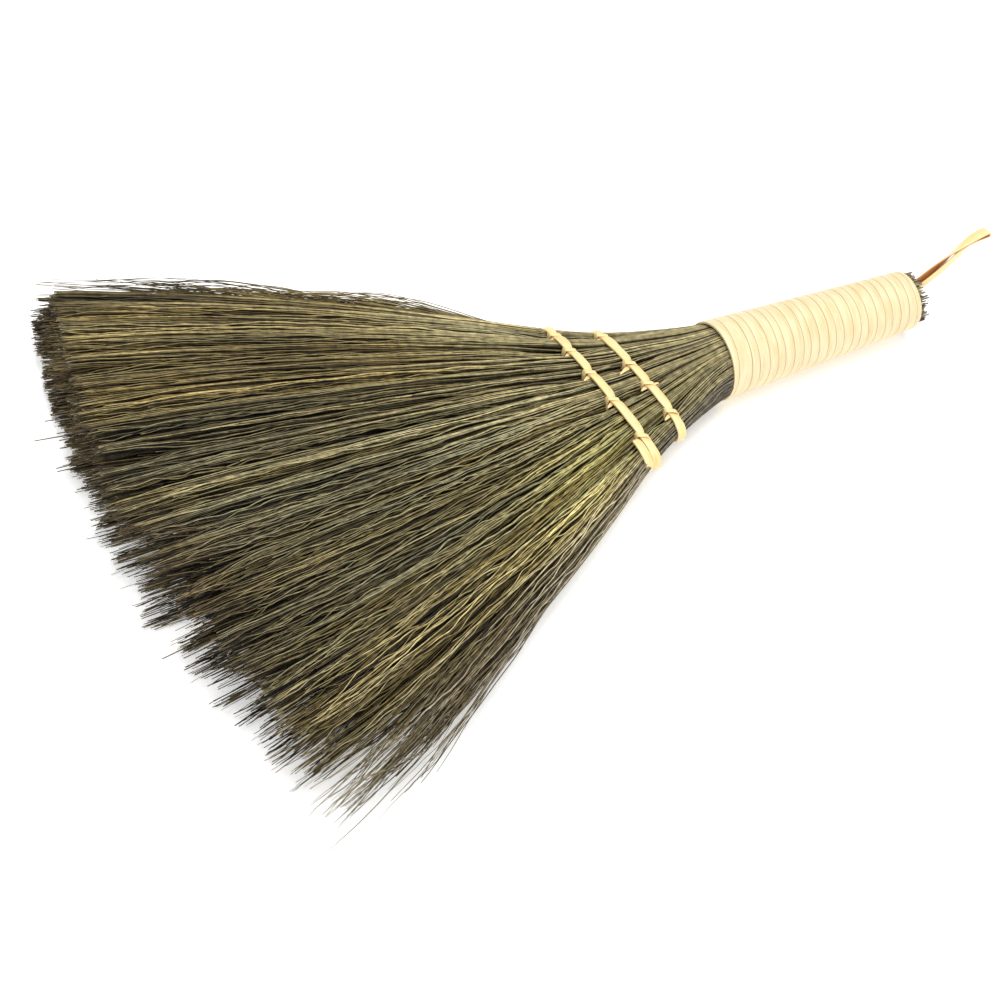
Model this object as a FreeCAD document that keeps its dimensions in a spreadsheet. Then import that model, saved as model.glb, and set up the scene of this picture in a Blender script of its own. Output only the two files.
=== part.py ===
"""Hand broom: bound stalks that fan out into a stiff brush, a wrapped handle and a hanging loop.

The broom lies flat. X runs across the fan, +Y from the brush tips to the hanging loop, Z is up.
The origin is under the middle of the whole broom, on the surface that it lies on.
Lengths are in millimetres.
"""
import FreeCAD, Part
import math
import os
import Sketcher

Vector = FreeCAD.Vector

# Driving dimensions
SIZES = {
    # Handle, from the front edge of the wrap to the cut ends of the stalks
    "handle_length": 76.0,
    "neck_diameter": 23.0,
    "butt_diameter": 16.4,
    "bare_butt_length": 3.6,
    # Fan, with places measured from the front edge of the wrap towards the tips
    "inner_row_distance": 27.0,
    "outer_row_distance": 40.0,
    "inner_row_width": 45.2,
    "outer_row_width": 59.6,
    "row_thickness": 9.6,
    "tip_width": 204.0,
    "tip_thickness": 25.0,
    "tip_arc_radius": 294.0,
    "tip_arc_setback": 103.0,
    "side_swell": 6.0,
    # Tufts of the brush: furrows between them, and how far some bundles are cut shorter
    "furrow_depth": 2.4,
    "tip_step": 3.0,
    # Slits between the bundles
    "handle_slit": 0.3,
    "fan_slit": 1.9,
    # Flat strip wound on the handle
    "wrap_width": 2.7,
    "wrap_thickness": 0.8,
    "wrap_gap": 0.5,
    # Flat strip bound round the fan in two rows, and the stitches that hold it
    "band_width": 2.3,
    "band_thickness": 0.9,
    "band_gap": 0.5,
    "stitch_width": 1.5,
    "stitch_thickness": 0.8,
    # Cords under the wrap
    "tie_diameter": 1.4,
    "front_tie_distance": 12.0,
    "rear_tie_distance": 14.0,
    # Hanging loop, a folded strip
    "loop_reach": 32.0,
    "loop_strip_width": 3.6,
    "loop_strip_thickness": 0.9,
    "loop_swell": 0.7,
    "loop_fold_radius": 0.9,
    "loop_tuck_depth": 20.0,
    "loop_root_length": 3.0,
    # Bend of the brush, just past the outer row
    "stalk_overhang": 6.0,
    "flex_radius": 20.0,
    # Fits
    "seat_clearance": 0.2,
    "moving_clearance": 0.3,
    "cut_overrun": 5.0,
}

# Cuts between the bundles, as shares of the half width of the section they lie in
HANDLE_SPLIT_SHARES = (-1.0, -0.66, -0.32, 0.0, 0.32, 0.66, 1.0)
FAN_SPLIT_SHARES = (-1.0, -0.82, -0.55, -0.19, 0.22, 0.74, 1.0)
BUNDLE_COUNT = len(FAN_SPLIT_SHARES) - 1
LOOP_CUTS = (BUNDLE_COUNT // 2 - 1, BUNDLE_COUNT // 2 + 1)
OUTER_ROW_CUTS = tuple(range(1, BUNDLE_COUNT))
INNER_ROW_CUTS = tuple(cut for cut in OUTER_ROW_CUTS if cut != LOOP_CUTS[0])

# Tufts across each bundle, and the share of the step by which each bundle's tips are shorter
TUFT_COUNTS = (2, 3, 4, 4, 5, 3)
TIP_STEP_SHARES = (0.0, 0.5, 1.0, 0.0, 0.8, 0.0)

# Squareness of the section: 0 is an ellipse, 1 a rectangle
HANDLE_SQUARE_SHARE = 0.0
ROW_SQUARE_SHARE = 0.23
TIP_SQUARE_SHARE = 0.4

BRUSH_STEPS = 4
RIM_ARC_SHARE = 0.4
LEAST_RIM_SHARE = 0.3
LOOP_SWELL_SHARE = 0.4
WRAP_POINTS_PER_TURN = 4
BAND_POINTS_PER_TURN = 28
WRAP_GAP_POINTS_PER_TURN = 36
BAND_GAP_POINTS_PER_TURN = 360
SLOPE_STEP = 1.0e-4

# Angles round a section stretched to a circle, in degrees from the +X rim over the upper side
WRAP_START = -90.0
BAND_SHIFT_START = 190.0
BAND_SHIFT_END = 290.0
INNER_BAND_ENDS = (-70.0, 340.0)
OUTER_BAND_ENDS = (-40.0, 407.0)

doc = FreeCAD.newDocument("HandBroom")
sheet = doc.addObject("Spreadsheet::Sheet", "Sizes")
for row, (alias, value) in enumerate(SIZES.items(), start=1):
    sheet.set(f"A{row}", alias)
    sheet.set(f"B{row}", str(value))
    sheet.setAlias(f"B{row}", alias)
doc.recompute()


def size(alias):
    """Value of one driving dimension."""
    return float(sheet.get(alias))


# Places that several pieces share
seat = size("seat_clearance")
moving = size("moving_clearance")
overrun = size("cut_overrun")
handle_length = size("handle_length")
neck_radius = size("neck_diameter") / 2
butt_radius = size("butt_diameter") / 2
row_half_thickness = size("row_thickness") / 2
tip_half_width = size("tip_width") / 2
tip_half_thickness = size("tip_thickness") / 2
tip_radius = size("tip_arc_radius")
tip_reach = tip_radius - size("tip_arc_setback")
corner_reach = math.sqrt(tip_radius ** 2 - tip_half_width ** 2) - size("tip_arc_setback")
band_shift = size("band_width") + size("band_gap")
stitch_reach = size("band_width") / 2 + seat + size("stitch_thickness")
wrap_radius = neck_radius + seat + size("wrap_thickness")
wrap_pitch = size("wrap_width") + size("wrap_gap")
flex_distance = size("outer_row_distance") + size("stalk_overhang") + size("flex_radius")

# Frame: the broom's middle plane stands as high as its thickest place needs
axis_z = max(wrap_radius, tip_half_thickness)
front_y = (tip_reach - handle_length - size("loop_reach")) / 2
butt_y = front_y + handle_length


def at(distance):
    """Y of a place that lies a distance from the front of the wrap, towards the tips."""
    return front_y - distance


def mix(low, high, share):
    """Value that lies a share of the way from low to high."""
    return low + (high - low) * share


def handle_radius(y):
    """Radius of the bound stalks in the handle, which taper evenly to the butt."""
    return mix(neck_radius, butt_radius, (y - front_y) / handle_length)


def place(x, y, z, turn=FreeCAD.Rotation()):
    """Placement at a point, with a turn where one is given."""
    return FreeCAD.Placement(Vector(x, y, z), turn)


def bound(kind, name, formulas):
    """Document object whose sizes are bound to the sheet."""
    piece = doc.addObject(kind, name)
    for prop, formula in formulas.items():
        piece.setExpression(prop, formula)
    doc.recompute()
    return piece


def combined(kind, name, pieces):
    """Fusion, common part or group of several document objects."""
    piece = doc.addObject(kind, name)
    setattr(piece, "Links" if kind == "Part::Compound" else "Shapes", pieces)
    return piece


def difference(name, base, tool):
    """One document object cut by another."""
    piece = doc.addObject("Part::Cut", name)
    piece.Base = base
    piece.Tool = tool
    return piece


class Section:
    """Outline of all the stalks at one place along the broom, with the cuts between bundles."""

    def __init__(self, distance, half_width, half_thickness, square_share, fan_share, slit, furrow=0.0):
        self.y = at(distance)
        self.furrow = furrow
        self.half_width = half_width
        self.half_thickness = half_thickness
        self.roundness = 2.0 / (1.0 - square_share)
        self.slit = slit
        pairs = zip(HANDLE_SPLIT_SHARES, FAN_SPLIT_SHARES)
        self.cuts = [half_width * mix(hand, fan, fan_share) for hand, fan in pairs]

    def rise(self, x):
        """Height of the outline over the middle plane at x."""
        inside = 1.0 - (abs(x) / self.half_width) ** self.roundness
        return self.half_thickness * max(inside, 0.0) ** (1.0 / self.roundness)

    def around(self, angle):
        """Shares of the half width and half thickness at an angle round the outline, in radians."""
        across, up = math.cos(angle), math.sin(angle)
        power = 2.0 / self.roundness
        return math.copysign(abs(across) ** power, across), math.copysign(abs(up) ** power, up)

    def angle(self, x):
        """Angle of the upper outline at x, in radians."""
        return math.acos(math.copysign((abs(x) / self.half_width) ** (self.roundness / 2.0), x))

    def slope(self, x):
        """Slope of the upper outline at x."""
        step = SLOPE_STEP * self.half_width
        return (self.rise(x + step) - self.rise(x - step)) / (2.0 * step)

    def point(self, x, side, depth=0.0):
        """Point at or under the outline at x, on the upper side (1) or the lower side (-1)."""
        return Vector(x, self.y, axis_z + side * (self.rise(x) - depth))

    def furrow_point(self, x, side):
        """Bottom of a furrow at x."""
        return self.point(x, side, self.furrow)

    def tufts(self, x_from, x_to, side, count):
        """Stretch of the outline as one arc for each tuft, with furrows between them."""
        stops = [mix(x_from, x_to, index / count) for index in range(count + 1)]
        return [
            Part.Arc(
                self.furrow_point(near, side), self.point((near + far) / 2, side), self.furrow_point(far, side),
            ).toShape()
            for near, far in zip(stops, stops[1:])
        ]

    def wall(self, x, side):
        """Straight line through the thickness at a cut, from one side to the other."""
        return Part.makeLine(self.furrow_point(x, side), self.furrow_point(x, -side))

    def inner_slice(self, low, high, count):
        """Outline of a bundle that lies between two cuts."""
        upper = self.tufts(low, high, 1, count)
        lower = self.tufts(high, low, -1, count)
        return Part.Wire(upper + [self.wall(high, 1)] + lower + [self.wall(low, -1)])

    def rim_slice(self, low, rim, count):
        """Outline of a bundle that lies between a cut and the rim, with its last tuft round the rim."""
        share = max(LEAST_RIM_SHARE, 1.0 - RIM_ARC_SHARE * self.rise(low) / abs(rim - low))
        turn = mix(low, rim, share)
        edge = Vector(rim, self.y, axis_z)
        upper = self.tufts(low, turn, 1, count - 1)
        round_rim = Part.Arc(self.furrow_point(turn, 1), edge, self.furrow_point(turn, -1)).toShape()
        lower = self.tufts(turn, low, -1, count - 1)
        return Part.Wire(upper + [round_rim] + lower + [self.wall(low, -1)])

    def slice(self, index):
        """Outline of one bundle, counted from the -X rim."""
        low = self.cuts[index] + self.slit / 2
        high = self.cuts[index + 1] - self.slit / 2
        count = TUFT_COUNTS[index]
        if index == 0:
            return self.rim_slice(high, -self.half_width, count)
        if index == BUNDLE_COUNT - 1:
            return self.rim_slice(low, self.half_width, count)
        return self.inner_slice(low, high, count)


def row_sections(row):
    """The two sections between which a row's strip squeezes the fan to one width."""
    handle_side = stitch_reach + moving
    tip_side = band_shift + stitch_reach + moving
    half_width = size(row + "_width") / 2
    return [
        Section(size(row + "_distance") + reach, half_width, row_half_thickness, ROW_SQUARE_SHARE, 1.0,
                size("fan_slit"))
        for reach in (-handle_side, tip_side)
    ]


def brush_sections():
    """Sections from the outer row to just past the tips: the sides swell a little, and furrows deepen."""
    start = size("outer_row_distance") + band_shift + stitch_reach + moving
    sections = []
    for step in range(1, BRUSH_STEPS + 1):
        share = step / BRUSH_STEPS
        swell = 4.0 * size("side_swell") * share * (1.0 - share)
        sections.append(Section(
            mix(start, corner_reach, share),
            mix(size("outer_row_width") / 2, tip_half_width, share) + swell,
            mix(row_half_thickness, tip_half_thickness, share),
            mix(ROW_SQUARE_SHARE, TIP_SQUARE_SHARE, share),
            1.0,
            size("fan_slit"),
            size("furrow_depth") * share,
        ))
    before, last = sections[-2:]
    widening = (last.half_width - before.half_width) / (before.y - last.y)
    beyond = tip_reach + overrun
    half_width = last.half_width + widening * (beyond - corner_reach)
    sections.append(Section(beyond, half_width, tip_half_thickness, TIP_SQUARE_SHARE, 1.0, size("fan_slit"),
                            size("furrow_depth")))
    return sections


butt_section = Section(-handle_length, butt_radius, butt_radius, HANDLE_SQUARE_SHARE, 0.0, size("handle_slit"))
neck_section = Section(0.0, neck_radius, neck_radius, HANDLE_SQUARE_SHARE, 0.0, size("handle_slit"))
inner_row = row_sections("inner_row")
outer_row = row_sections("outer_row")
stalk_sections = [butt_section, neck_section] + inner_row + outer_row + brush_sections()


# Cords that hold the stalks under the wrap, each sunk into a groove
def tie(name, y, fit):
    """Cord ring round the stalks, or its groove where fit adds a clearance."""
    ring = bound("Part::Torus", name, {"Radius2": "Sizes.tie_diameter / 2" + fit})
    ring.Radius1 = handle_radius(y) - size("tie_diameter") / 2
    ring.Placement = place(0, y, axis_z, FreeCAD.Rotation(Vector(1, 0, 0), 90))
    return ring


tie_places = {
    "front_tie": front_y + size("front_tie_distance"),
    "rear_tie": butt_y - size("rear_tie_distance"),
}
ties = [tie(name, y, "") for name, y in tie_places.items()]
grooves = [tie(name + "_groove", y, " + Sizes.seat_clearance") for name, y in tie_places.items()]

# Hanging loop: its ends lie in two slits of the handle, and it swings about an upright axis
loop_leg_x = butt_section.cuts[LOOP_CUTS[1]]
loop_half_gap = loop_leg_x - size("loop_strip_thickness") / 2
loop_half_width = loop_leg_x + size("loop_strip_thickness") / 2
loop_swing_radius = math.hypot(loop_half_width, size("loop_root_length"))
loop_y = butt_y + loop_swing_radius + 2 * moving


def loop_leg(name, x, fit, low_y, high_y):
    """Straight end of the loop's strip, or its slot where fit adds a clearance."""
    leg = bound("Part::Box", name, {
        "Length": "Sizes.loop_strip_thickness" + fit,
        "Height": "Sizes.loop_strip_width" + fit,
    })
    leg.Width = high_y - low_y
    leg.Placement = place(x - leg.Length.Value / 2, low_y, axis_z - leg.Height.Value / 2)
    return leg


def loop_ends():
    """Slots in the stalks, and the two tucked ends that lie in them."""
    tuck_y = butt_y - size("loop_tuck_depth")
    swing = bound("Part::Cylinder", "loop_swing", {"Height": "Sizes.loop_strip_width + 2 * Sizes.cut_overrun"})
    swing.Radius = loop_swing_radius + moving
    swing.Placement = place(0, loop_y, axis_z - swing.Height.Value / 2)
    slots = []
    ends = []
    for cut in LOOP_CUTS:
        x = butt_section.cuts[cut]
        fit = " + 2 * Sizes.seat_clearance"
        slots.append(loop_leg(f"loop_slot_{cut}", x, fit, tuck_y - seat, butt_y + overrun))
        leg = loop_leg(f"loop_leg_{cut}", x, "", tuck_y, loop_y)
        ends.append(difference(f"loop_end_{cut}", leg, swing))
    return slots, combined("Part::Compound", "loop_anchor", ends)


def hairpin(body, name, half_width, fold_radius):
    """Closed sketch of a fold that swells a little between its root and its round end."""
    root = size("loop_root_length")
    fold_y = butt_y + size("loop_reach") - loop_y - size("loop_fold_radius") - size("loop_strip_thickness")
    swell_y = LOOP_SWELL_SHARE * fold_y
    swell_x = half_width + size("loop_swell")
    to_fold = math.hypot(swell_x, fold_y - swell_y)
    heading = math.atan2(fold_y - swell_y, -swell_x) - math.asin(fold_radius / to_fold)
    run = math.sqrt(to_fold ** 2 - fold_radius ** 2)
    touch = Vector(swell_x + run * math.cos(heading), swell_y + run * math.sin(heading), 0)
    rim = [Vector(-half_width, -root, 0), Vector(half_width, -root, 0), Vector(swell_x, swell_y, 0), touch]
    left_touch = Vector(-touch.x, touch.y, 0)
    left_swell = Vector(-swell_x, swell_y, 0)
    top = Vector(0, fold_y + fold_radius, 0)

    sketch = body.newObject("Sketcher::SketchObject", name)
    plane = [item for item in body.Origin.OriginFeatures if item.Role == "XY_Plane"][0]
    sketch.AttachmentSupport = (plane, "")
    sketch.MapMode = "FlatFace"
    for start, end in zip(rim, rim[1:]):
        sketch.addGeometry(Part.LineSegment(start, end))
    sketch.addGeometry(Part.Arc(touch, top, left_touch))
    sketch.addGeometry(Part.LineSegment(left_touch, left_swell))
    sketch.addGeometry(Part.LineSegment(left_swell, rim[0]))
    for first, second in ((0, 1), (1, 2), (4, 5), (5, 0)):
        sketch.addConstraint(Sketcher.Constraint("Coincident", first, 2, second, 1))
    for first, second in ((2, 3), (3, 4)):
        sketch.addConstraint(Sketcher.Constraint("Tangent", first, 2, second, 1))
    sketch.addConstraint(Sketcher.Constraint("Symmetric", 0, 1, 0, 2, -2))
    sketch.addConstraint(Sketcher.Constraint("Symmetric", 1, 2, 4, 2, -2))
    sketch.addConstraint(Sketcher.Constraint("PointOnObject", 3, 3, -2))
    sketch.addConstraint(Sketcher.Constraint("DistanceX", 0, 1, 0, 2, 2 * half_width))
    sketch.addConstraint(Sketcher.Constraint("DistanceX", 4, 2, 1, 2, 2 * swell_x))
    sketch.addConstraint(Sketcher.Constraint("DistanceY", -1, 1, 1, 2, swell_y))
    sketch.addConstraint(Sketcher.Constraint("DistanceY", -1, 1, 3, 3, fold_y))
    root_index = sketch.addConstraint(Sketcher.Constraint("DistanceY", 0, 1, -1, 1, root))
    sketch.setExpression(f"Constraints[{root_index}]", "Sizes.loop_root_length")
    sketch.addConstraint(Sketcher.Constraint("Radius", 3, fold_radius))
    return sketch


def hanging_loop():
    """Folded strip that stands out of the butt."""
    body = doc.addObject("PartDesign::Body", "hanging_loop")
    fold_radius = size("loop_fold_radius")
    outer = hairpin(body, "loop_outside", loop_half_width, fold_radius + size("loop_strip_thickness"))
    pad = body.newObject("PartDesign::Pad", "loop_pad")
    pad.Profile = outer
    pad.setExpression("Length", "Sizes.loop_strip_width")
    pad.Midplane = True
    doc.recompute()
    inner = hairpin(body, "loop_inside", loop_half_gap, fold_radius)
    pocket = body.newObject("PartDesign::Pocket", "loop_pocket")
    pocket.Profile = inner
    pocket.setExpression("Length", "Sizes.loop_strip_width + 2 * Sizes.cut_overrun")
    pocket.Midplane = True
    body.Tip = pocket
    body.Placement = place(0, loop_y, axis_z)
    return body


loop_slots, loop_anchor = loop_ends()
loop = hanging_loop()


# Bundles: stalks in the handle and rows, and the brush that bends past the rows
def flex_space(name, radius_formula):
    """Space of the brush: all that lies past the flex axis, with a round nose about that axis."""
    across = "2 * Sizes.tip_arc_radius"
    block = bound("Part::Box", name + "_block", {
        "Length": across,
        "Height": "2 * Sizes.flex_radius + 2 * Sizes.cut_overrun",
    })
    block.Width = tip_reach + overrun - flex_distance
    low_x = -block.Length.Value / 2
    block.Placement = place(low_x, at(tip_reach + overrun), axis_z - block.Height.Value / 2)
    nose = bound("Part::Cylinder", name + "_nose", {"Radius": radius_formula, "Height": across})
    nose.Placement = place(low_x, at(flex_distance), axis_z, FreeCAD.Rotation(Vector(0, 1, 0), 90))
    return combined("Part::MultiFuse", name, [block, nose])


def tip_arc(number, step_share):
    """Round disc whose edge trims the tips of one bundle to an arc."""
    disc = bound("Part::Cylinder", f"tip_arc_{number}", {
        "Radius": f"Sizes.tip_arc_radius - {step_share} * Sizes.tip_step",
        "Height": "Sizes.tip_thickness + 2 * Sizes.cut_overrun",
    })
    disc.Placement = place(0, front_y + size("tip_arc_setback"), axis_z - disc.Height.Value / 2)
    return disc


def bundles():
    """One stalk piece and one brush piece for each bundle."""
    brush_space = flex_space("brush_space", "Sizes.flex_radius")
    clear_space = flex_space("clear_space", "Sizes.flex_radius + Sizes.moving_clearance")
    stalk_cutter = combined("Part::MultiFuse", "stalk_cutter", [clear_space] + grooves + loop_slots)
    pieces = []
    for index in range(BUNDLE_COUNT):
        number = index + 1
        whole = doc.addObject("Part::Feature", f"bundle_{number}")
        wires = [section.slice(index) for section in stalk_sections]
        whole.Shape = Part.makeLoft(wires, True, True)
        pieces.append(difference(f"stalk_bundle_{number}", whole, stalk_cutter))
        tips = tip_arc(number, TIP_STEP_SHARES[index])
        pieces.append(combined("Part::MultiCommon", f"brush_section_{number}", [whole, brush_space, tips]))
    return pieces


# Wound strips
def arc_from(start, heading, end):
    """Arc that leaves start along heading and ends at end."""
    chord = end - start
    along = Vector(chord).normalize()
    side = heading - along * heading.dot(along)
    half_turn = heading.getAngle(along)
    if side.Length < SLOPE_STEP:
        return Part.LineSegment(start, end).toShape()
    sagitta = chord.Length / 2 * math.tan(half_turn / 2)
    return Part.Arc(start, (start + end) / 2 + side.normalize() * sagitta, end).toShape()


def biarc(start, heading, end, end_heading):
    """Two arcs that join two points along the given headings."""
    chord = end - start
    total = heading + end_heading
    bend = 2.0 * (1.0 - heading.dot(end_heading))
    reach = chord.dot(total)
    if bend < SLOPE_STEP ** 2:
        leg = chord.Length ** 2 / (2.0 * reach)
    else:
        leg = (math.sqrt(reach ** 2 + bend * chord.Length ** 2) - reach) / bend
    joint = (start + end + (heading - end_heading) * leg) / 2
    return [arc_from(start, heading, joint), arc_from(end, end_heading * -1.0, joint)]


def wound_strip(name, route, turns, points_per_turn, gap_points_per_turn, width, thickness, tilt):
    """One unbroken flat strip along a route, with straight ends as long as the strip is wide.

    The route gives a point for each count of turns. The strip's flat side faces the stalks, and
    tilt is the slope of the stalks along the broom, in radians.
    """
    def heading(turn):
        return (route(turn + SLOPE_STEP) - route(turn - SLOPE_STEP)).normalize()

    count = math.ceil((turns[1] - turns[0]) * points_per_turn)
    stops = [mix(turns[0], turns[1], index / count) for index in range(count + 1)]
    start, end = route(stops[0]), route(stops[-1])
    first = start - heading(stops[0]) * width
    last = end + heading(stops[-1]) * width
    edges = [Part.LineSegment(first, start).toShape()]
    for low, high in zip(stops, stops[1:]):
        edges += biarc(route(low), heading(low), route(high), heading(high))
    edges.append(Part.LineSegment(end, last).toShape())
    path = Part.Wire(Part.__sortEdges__(edges))

    axis = Vector(0, 1, 0)
    outward = axis.cross(heading(stops[0])).normalize()
    if outward.dot(start - Vector(0, start.y, axis_z)) < 0:
        outward = outward * -1.0
    wide = axis * math.cos(tilt) - outward * math.sin(tilt)
    thick = outward * math.cos(tilt) + axis * math.sin(tilt)
    corners = [
        first + wide * (a * width / 2) + thick * (b * thickness / 2)
        for a, b in ((-1, -1), (1, -1), (1, 1), (-1, 1), (-1, -1))
    ]
    sweep = Part.BRepOffsetAPI.MakePipeShell(path)
    sweep.setBiNormalMode(axis)
    sweep.add(Part.makePolygon(corners))
    sweep.build()
    sweep.makeSolid()
    strip = doc.addObject("Part::Feature", name)
    strip.Shape = sweep.shape()

    samples = math.ceil((turns[1] - turns[0]) * gap_points_per_turn)
    middles = [route(mix(turns[0], turns[1], index / samples)) for index in range(samples + 1)]
    apart = gap_points_per_turn // 2
    gaps = [
        (near + wide * side).distanceToPoint(far - wide * side)
        for index, near in enumerate(middles)
        for far in middles[index + apart:]
        for side in (-width / 2, width / 2)
    ]
    volume = width * thickness * path.Length
    print(name, "turns", round(turns[1] - turns[0], 2), "least gap to itself", round(min(gaps), 3),
          "volume over section times length", round(strip.Shape.Volume / volume, 4))
    return strip


def handle_wrap():
    """Flat strip wound on the handle from the neck nearly to the butt."""
    start_y = front_y + size("wrap_width") / 2
    end_y = butt_y - size("bare_butt_length") - size("wrap_width") / 2

    def route(turn):
        y = start_y + wrap_pitch * turn
        radius = handle_radius(y) + seat + size("wrap_thickness") / 2
        angle = math.radians(WRAP_START) + 2.0 * math.pi * turn
        return Vector(radius * math.cos(angle), y, axis_z + radius * math.sin(angle))

    turns = (0.0, (end_y - start_y) / wrap_pitch)
    taper = math.atan2(neck_radius - butt_radius, handle_length)
    return wound_strip("handle_wrap", route, turns, WRAP_POINTS_PER_TURN, WRAP_GAP_POINTS_PER_TURN,
                       size("wrap_width"), size("wrap_thickness"), taper)


def band_drift(degrees):
    """How far a row's strip has moved towards the tips at an angle round the fan."""
    share = (degrees - BAND_SHIFT_START) / (BAND_SHIFT_END - BAND_SHIFT_START)
    share = min(max(share, 0.0), 1.0)
    return band_shift * share * share * (3.0 - 2.0 * share)


def row_band(name, row, section, ends):
    """Flat strip once round the fan from one angle to another, its end lying beside its start."""
    offset = seat + size("band_thickness") / 2
    y = at(size(row + "_distance"))
    power = section.roundness - 1.0

    def route(turn):
        across_share, up_share = section.around(2.0 * math.pi * turn)
        normal = Vector(
            math.copysign(abs(across_share) ** power / section.half_width, across_share),
            0,
            math.copysign(abs(up_share) ** power / section.half_thickness, up_share),
        ).normalize()
        x = section.half_width * across_share
        z = axis_z + section.half_thickness * up_share
        return Vector(x, y - band_drift(360.0 * turn), z) + normal * offset

    turns = [degrees / 360.0 for degrees in ends]
    return wound_strip(name, route, turns, BAND_POINTS_PER_TURN, BAND_GAP_POINTS_PER_TURN,
                       size("band_width"), size("band_thickness"), 0.0)


def row_stitches(name, row, section, cuts):
    """Stitches that pass through the slits and hold a row's strip on both sides."""
    rings = []
    for cut in cuts:
        x = section.cuts[cut]
        inward_x = max(abs(x) - size("stitch_width") / 2, 0.0)
        lift = math.hypot(1.0, section.slope(inward_x))
        inside_z = section.rise(inward_x) + (seat + size("band_thickness")) * lift + seat
        below = 360.0 - math.degrees(section.angle(x))
        inside = bound("Part::Box", f"{name}_{cut}_inside", {
            "Length": "Sizes.stitch_width + 2 * Sizes.cut_overrun",
        })
        outside = bound("Part::Box", f"{name}_{cut}_outside", {"Length": "Sizes.stitch_width"})
        inside.Width = size("band_width") + band_drift(below) + 2 * seat
        inside.Height = 2 * inside_z
        outside.Width = inside.Width.Value + 2 * size("stitch_thickness")
        outside.Height = inside.Height.Value + 2 * size("stitch_thickness")
        low_y = at(size(row + "_distance")) - band_drift(below) - size("band_width") / 2 - seat
        inside.Placement = place(x - inside.Length.Value / 2, low_y, axis_z - inside_z)
        outside.Placement = place(x - size("stitch_width") / 2, low_y - size("stitch_thickness"),
                                  axis_z - outside.Height.Value / 2)
        rings.append(difference(f"{name}_{cut}", outside, inside))
    return combined("Part::Compound", name, rings)


nodes = bundles()
nodes += ties
nodes += [
    handle_wrap(),
    row_band("inner_row_band", "inner_row", inner_row[0], INNER_BAND_ENDS),
    row_band("outer_row_band", "outer_row", outer_row[0], OUTER_BAND_ENDS),
    row_stitches("inner_row_stitches", "inner_row", inner_row[0], INNER_ROW_CUTS),
    row_stitches("outer_row_stitches", "outer_row", outer_row[0], OUTER_ROW_CUTS),
    loop_anchor,
    loop,
]
doc.recompute()

for item in doc.Objects:
    if "Invalid" in item.State or "Error" in item.State:
        raise RuntimeError(f"{item.Label} failed: {item.State}")
for node in nodes:
    if node.Shape.isNull() or not node.Shape.isValid():
        raise RuntimeError(f"{node.Label} has no valid shape")

os.makedirs("parts", exist_ok=True)
for node in nodes:
    node.Shape.exportStep(f"parts/{node.Label}.step")
    print(node.Label, "solids", len(node.Shape.Solids), "volume", round(node.Shape.Volume, 1))
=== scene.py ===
"""Looks of a small hand broom: stalks and fibres, wound strips, a hanging loop, floor, light and camera.

The broom lies flat: X runs across the fan, +Y from the tips to the loop, Z is up. Lengths are in metres.
A reach is a distance along the broom from the front edge of the wrap, positive towards the tips.
A share is a place across the fan, from -1 at the -X rim to 1 at the +X rim.
"""
import math

import bpy
import numpy as np
from mathutils import Matrix, Vector


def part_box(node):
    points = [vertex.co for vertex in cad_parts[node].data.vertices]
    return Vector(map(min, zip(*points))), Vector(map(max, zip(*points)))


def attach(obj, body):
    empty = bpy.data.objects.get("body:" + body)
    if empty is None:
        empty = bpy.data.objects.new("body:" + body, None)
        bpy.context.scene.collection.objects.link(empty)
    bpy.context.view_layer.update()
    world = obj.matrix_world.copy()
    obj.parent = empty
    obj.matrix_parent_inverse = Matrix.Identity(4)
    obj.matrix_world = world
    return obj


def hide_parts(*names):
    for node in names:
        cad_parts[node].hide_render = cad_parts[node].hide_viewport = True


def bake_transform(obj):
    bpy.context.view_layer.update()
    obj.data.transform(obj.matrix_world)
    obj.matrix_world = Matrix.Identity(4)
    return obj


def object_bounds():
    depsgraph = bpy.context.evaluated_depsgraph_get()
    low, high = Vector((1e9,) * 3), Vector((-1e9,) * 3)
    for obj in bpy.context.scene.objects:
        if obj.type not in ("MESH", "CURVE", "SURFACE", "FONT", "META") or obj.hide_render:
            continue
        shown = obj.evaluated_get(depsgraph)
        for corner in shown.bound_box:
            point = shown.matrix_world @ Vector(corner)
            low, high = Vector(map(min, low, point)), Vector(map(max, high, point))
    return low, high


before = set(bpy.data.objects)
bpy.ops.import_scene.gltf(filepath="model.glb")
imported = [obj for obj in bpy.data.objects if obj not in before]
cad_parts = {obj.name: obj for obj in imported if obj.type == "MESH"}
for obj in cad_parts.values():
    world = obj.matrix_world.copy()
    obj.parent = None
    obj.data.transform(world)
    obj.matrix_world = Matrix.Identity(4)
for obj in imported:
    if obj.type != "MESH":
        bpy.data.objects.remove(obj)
cad_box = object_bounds()
link = bpy.context.scene.collection.objects.link
rng = np.random.default_rng(41)

# Places of the broom, from the frame
wrap_low, wrap_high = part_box("handle_wrap")
front_y = wrap_low.y
axis_z = (wrap_low.z + wrap_high.z) / 2
butt_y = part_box("stalk_bundle_3")[1].y
tip_half_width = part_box("brush_section_6")[1].x
tip_half_thickness = (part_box("brush_section_4")[1].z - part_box("brush_section_4")[0].z) / 2
tip_reach = front_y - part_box("brush_section_4")[0].y
corner_reach = front_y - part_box("brush_section_6")[0].y

# Sizes of the strips, and the gap between a strip and the stalks under it
SEAT = 0.0002
WRAP_THICKNESS = 0.0008
WRAP_PITCH = 0.0032
WRAP_FIRST_TURN = 0.0058
BAND_WIDTH = 0.0023
BAND_THICKNESS = 0.0009
BAND_SHIFT = 0.0028
STITCH_WIDTH = 0.0019
STITCH_THICKNESS = 0.00045
LOOP_WIDTH = 0.0036
LOOP_THICKNESS = 0.0009

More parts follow.
